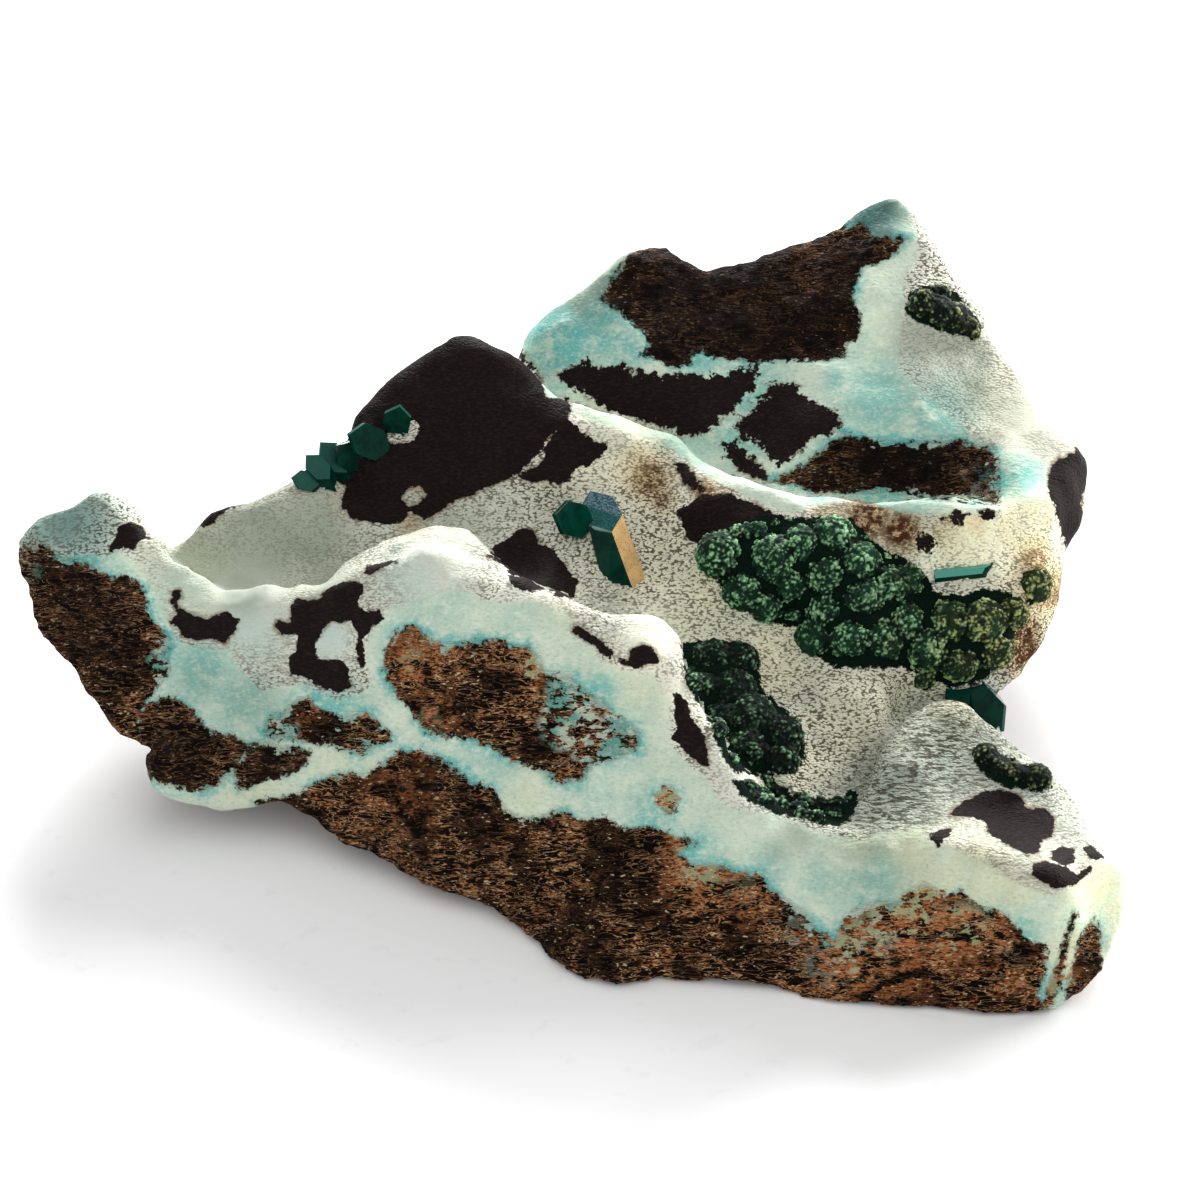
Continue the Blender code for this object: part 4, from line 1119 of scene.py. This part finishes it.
class SPECIMEN_OT_malachite(bpy.types.Operator):
    """Make the four growths of malachite"""

    bl_idname = "specimen.malachite"
    bl_label = "Malachite"

    def execute(self, context):
        material = malachite_material(context.scene.specimen_colours)
        for node in MALACHITE_NODES:
            dress(make_malachite(node, context.scene.specimen_sizes), material, node)
        return {"FINISHED"}


class SPECIMEN_OT_crystals(bpy.types.Operator):
    """Make the dioptase crystals"""

    bl_idname = "specimen.crystals"
    bl_label = "Crystals"

    def execute(self, context):
        material = crystal_material(context.scene.specimen_colours)
        for node in CRYSTAL_NODES:
            dress(make_crystal(node, context.scene.specimen_sizes), material, node)
        return {"FINISHED"}


def area_light(name, place, size, power):
    light = bpy.data.lights.new(name, "AREA")
    light.shape = "DISK"
    light.size = size
    light.energy = power
    lamp = bpy.data.objects.new(name, light)
    lamp.location = place
    lamp.rotation_euler = (SIGHT_TARGET - Vector(place)).to_track_quat("-Z", "Y").to_euler()
    bpy.context.scene.collection.objects.link(lamp)


class SPECIMEN_OT_stage(bpy.types.Operator):
    """Make the floor, the lights and the camera"""

    bl_idname = "specimen.stage"
    bl_label = "Stage"

    def execute(self, context):
        deselect()
        bpy.ops.mesh.primitive_plane_add(size=6, location=(0, 0, -0.02 * MM))
        floor = context.object
        floor.name = "floor"
        bpy.ops.object.transform_apply(location=True, rotation=True, scale=True)
        material, tree, shader = new_material("white paper")
        plain = place_scaled(tree, (1, 1, 1))
        mask = fine_grain(tree, plain, 2 * MM, 0.35)[0]
        feed(tree, mixed(tree, mask, tone(250, 250, 250), tone(246, 246, 247)), shader.inputs["Base Color"])
        shader.inputs["Roughness"].default_value = 0.9
        shader.inputs["Specular IOR Level"].default_value = 0.1
        floor.data.materials.append(material)

        world = bpy.data.worlds.new("white room")
        world.use_nodes = True
        sky = world.node_tree.nodes["Background"]
        sky.inputs["Color"].default_value = (1, 1, 1, 1)
        sky.inputs["Strength"].default_value = 0.82
        context.scene.world = world
        area_light("right light", (0.47, 0.34, 0.2), 0.3, 4.4)
        area_light("back light", (-0.01, 0.5, 0.25), 0.18, 4.5)

        camera = bpy.data.cameras.new("camera")
        camera.sensor_width = SENSOR
        camera.lens = SENSOR * PIXELS_PER_METRE * SIGHT_DISTANCE / FRAME_PIXELS
        camera.clip_start = 0.01
        holder = bpy.data.objects.new("camera", camera)
        holder.location = EYE
        holder.rotation_euler = (-TOWARDS_EYE).to_track_quat("-Z", "Y").to_euler()
        context.scene.collection.objects.link(holder)
        context.scene.camera = holder
        context.scene.view_settings.view_transform = "Standard"
        return {"FINISHED"}


class SPECIMEN_PT_panel(bpy.types.Panel):
    """Sidebar panel with the specimen's sizes, colours and pieces"""

    bl_idname = "SPECIMEN_PT_panel"
    bl_label = "Dioptase specimen"
    bl_space_type = "VIEW_3D"
    bl_region_type = "UI"
    bl_category = "Specimen"

    def draw(self, context):
        layout = self.layout
        for group in (context.scene.specimen_sizes, context.scene.specimen_colours):
            for key in group.__annotations__:
                layout.prop(group, key)
        for operator in OPERATORS:
            layout.operator(operator.bl_idname)


OPERATORS = (SPECIMEN_OT_rock, SPECIMEN_OT_malachite, SPECIMEN_OT_crystals, SPECIMEN_OT_stage)
CLASSES = (SpecimenColours, SpecimenSizes, *OPERATORS, SPECIMEN_PT_panel)


def register():
    for item in CLASSES:
        bpy.utils.register_class(item)
    bpy.types.Scene.specimen_colours = PointerProperty(type=SpecimenColours)
    bpy.types.Scene.specimen_sizes = PointerProperty(type=SpecimenSizes)


def unregister():
    del bpy.types.Scene.specimen_sizes
    del bpy.types.Scene.specimen_colours
    for item in reversed(CLASSES):
        bpy.utils.unregister_class(item)


def main():
    register()
    bpy.ops.specimen.rock()
    bpy.ops.specimen.malachite()
    bpy.ops.specimen.crystals()
    bpy.ops.specimen.stage()


if __name__ == "__main__":
    main()
